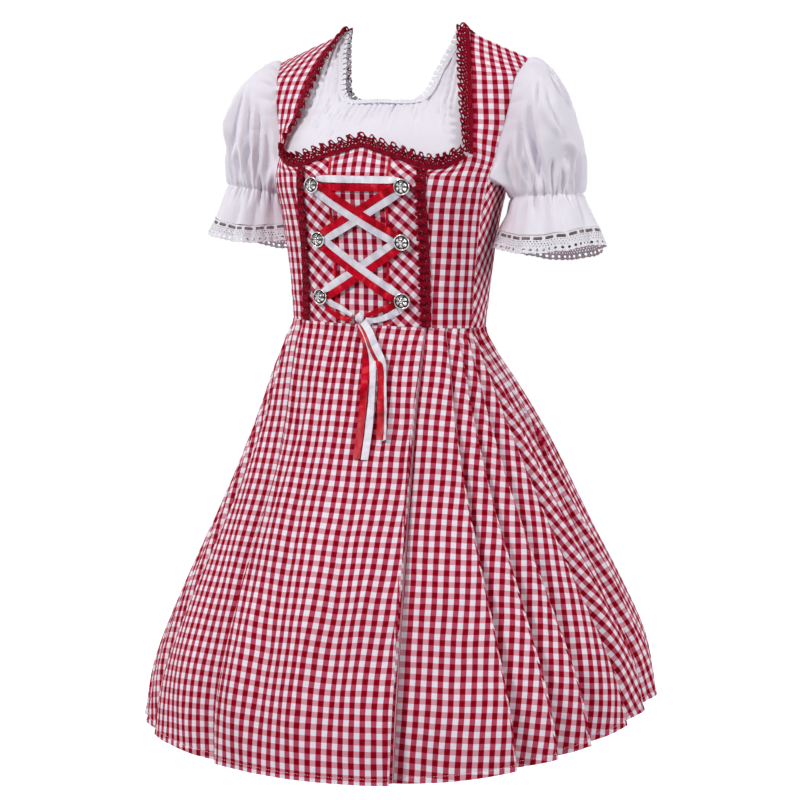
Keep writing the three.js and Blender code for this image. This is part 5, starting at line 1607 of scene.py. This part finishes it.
def stitches(name, at, out):
    """A row of small stitches along points, joined in one piece."""
    far = np.concatenate([[0], np.cumsum(np.linalg.norm(np.diff(at, axis=0), axis=1))])
    turn = once_round(STITCH_SIDES)[:, None]
    place, size, sink = np.array(STITCH_RINGS).T[:, :, None, None]
    index = closed(np.arange(len(STITCH_RINGS) * STITCH_SIDES).reshape(-1, STITCH_SIDES))
    one = np.concatenate([cells(index).reshape(-1, 4), [index[0, 3::-1], index[-1, :4]]])
    points, faces = [], []
    for middle in np.arange(STITCH["step"], far[-1] - STITCH["step"], STITCH["step"]):
        ends = middle + place[:, 0, 0] * STITCH["length"]
        spot = np.stack([np.interp(ends, far, at[:, i]) for i in range(3)], -1)
        away = unit(np.array([np.interp(middle, far, out[:, i]) for i in range(3)]))
        across = unit(np.cross(spot[-1] - spot[0], away))
        around = across * np.cos(turn) * STITCH["width"] / 2 + away * np.sin(turn) * STITCH["height"] / 2
        points.append((spot[:, None] + around * size + away * sink).reshape(-1, 3))
        faces.append(one + len(faces) * index[:, :-1].size)
    points, faces = np.concatenate(points), np.concatenate(faces)
    return mesh_object(name, points, faces, np.zeros((len(faces), 4, 2)), "thread", "gingham")


def make_thread():
    nodes = Nodes("thread")
    twist = nodes.noise(nodes.place(), 2600.0, 2.0)
    nodes.set(Base_Color=nodes.ramp(twist, ((0.3, rgb(222, 190, 200)), (0.7, rgb(240, 216, 224)))))
    nodes.set(Roughness=0.7, Specular_IOR_Level=0.3)


make_thread()
hem_row = int(np.argmin(np.abs(skirt_rows[::-1] - (HEM + HEM_FOLD))))
for part, grid in skirt.items():
    out = normals(grid)[hem_row]
    stitches(f"hem_stitches_{part}", grid[hem_row] + out * 0.1, out)

# ---- Each side's back piece's name, which nothing uses


for _, word in SIDES:
    part = f"back_{word}"

# ---- Stage, lights and camera

# The stage, in mm: the floor's height and reach, the radius of its bend into the wall, and the wall's top
FLOOR, REACH, BEND, WALL = -1450.0, 4200.0, 1500.0, 8000


def make_paper():
    nodes = Nodes("studio_paper")
    grain = nodes.noise(nodes.place(), 300.0, 2.0)
    nodes.set(Base_Color=nodes.ramp(grain, ((0.3, rgb(243, 243, 244)), (0.7, rgb(249, 249, 250)))))
    nodes.set(Roughness=1.0, Specular_IOR_Level=0.0)
    nodes.set(Emission_Color=(1, 1, 1, 1), Emission_Strength=0.62)


def round_stage(name, profile):
    """A surface of revolution round the object, from its distances and heights."""
    points = [(r * math.cos(a), r * math.sin(a), z) for r, z in profile for a in once_round(48)]
    index = closed(np.arange(len(points)).reshape(len(profile), -1))
    mesh = bpy.data.meshes.new(name)
    mesh.from_pydata((np.array(points) * MM).tolist(), [], cells(index).reshape(-1, 4).tolist())
    for face in mesh.polygons:
        face.use_smooth = True
    mesh.materials.append(MATERIALS["studio_paper"])
    made = in_scene(name, mesh)
    made.visible_diffuse = False
    return made


def backdrop():
    """A pale floor with a wall all round it, which the floor curves up into. The wall isn't mirrored in the
    ribbons or buttons."""
    angles = np.linspace(0, math.pi / 2, 13)
    rising = [(REACH + BEND * math.sin(a), FLOOR + BEND * (1 - math.cos(a))) for a in angles]
    round_stage("floor", [(1.0, FLOOR), (REACH / 2, FLOOR), (REACH, FLOOR)])
    wall = round_stage("wall", rising + [(REACH + BEND, FLOOR + WALL)])
    wall.visible_glossy = False


# Round lights: place, height of the point on the axis they aim at, size and watts
LIGHTS = {
    "key": ((-1.3, -2.9, 1.9), -0.45, 0.8, 74),
    "left": ((-2.9, -0.9, 0.4), -0.45, 1.3, 17),
    "right": ((3.0, -0.9, 0.6), -0.45, 1.3, 38),
    "back_left": ((-2.2, 2.4, 1.2), -0.4, 1.6, 30),
    "back_right": ((2.2, 2.4, 0.8), -0.4, 1.6, 26),
}
CAMERA_AT, CAMERA_DOWN, CAMERA_ROUND = (0.9298, -2.0139, -0.315), 4.91, 25  # metres and degrees


def area_light(name, at, aim, size, watts):
    light = bpy.data.lights.new(name, "AREA")
    light.shape = "DISK"
    light.size = size
    light.energy = watts
    made = in_scene(name, light)
    made.location = at
    made.rotation_euler = (Vector((0, 0, aim)) - Vector(at)).to_track_quat("-Z", "Y").to_euler()


def camera():
    data = bpy.data.cameras.new("camera")
    data.lens = 72.27
    data.sensor_width = 36
    data.shift_x = 0.00375
    data.clip_end = 60
    made = in_scene("camera", data)
    made.location = CAMERA_AT
    made.rotation_euler = (math.radians(90 - CAMERA_DOWN), 0, math.radians(CAMERA_ROUND))
    bpy.context.scene.camera = made


make_paper()
backdrop()
for name, light in LIGHTS.items():
    area_light(name, *light)
camera()
world = bpy.data.worlds.new("studio")
world.use_nodes = True
background = world.node_tree.nodes["Background"].inputs
background["Color"].default_value = (0.93, 0.94, 1.0, 1)
background["Strength"].default_value = 0.3
bpy.context.scene.world = world
bpy.context.scene.view_settings.view_transform = "Standard"
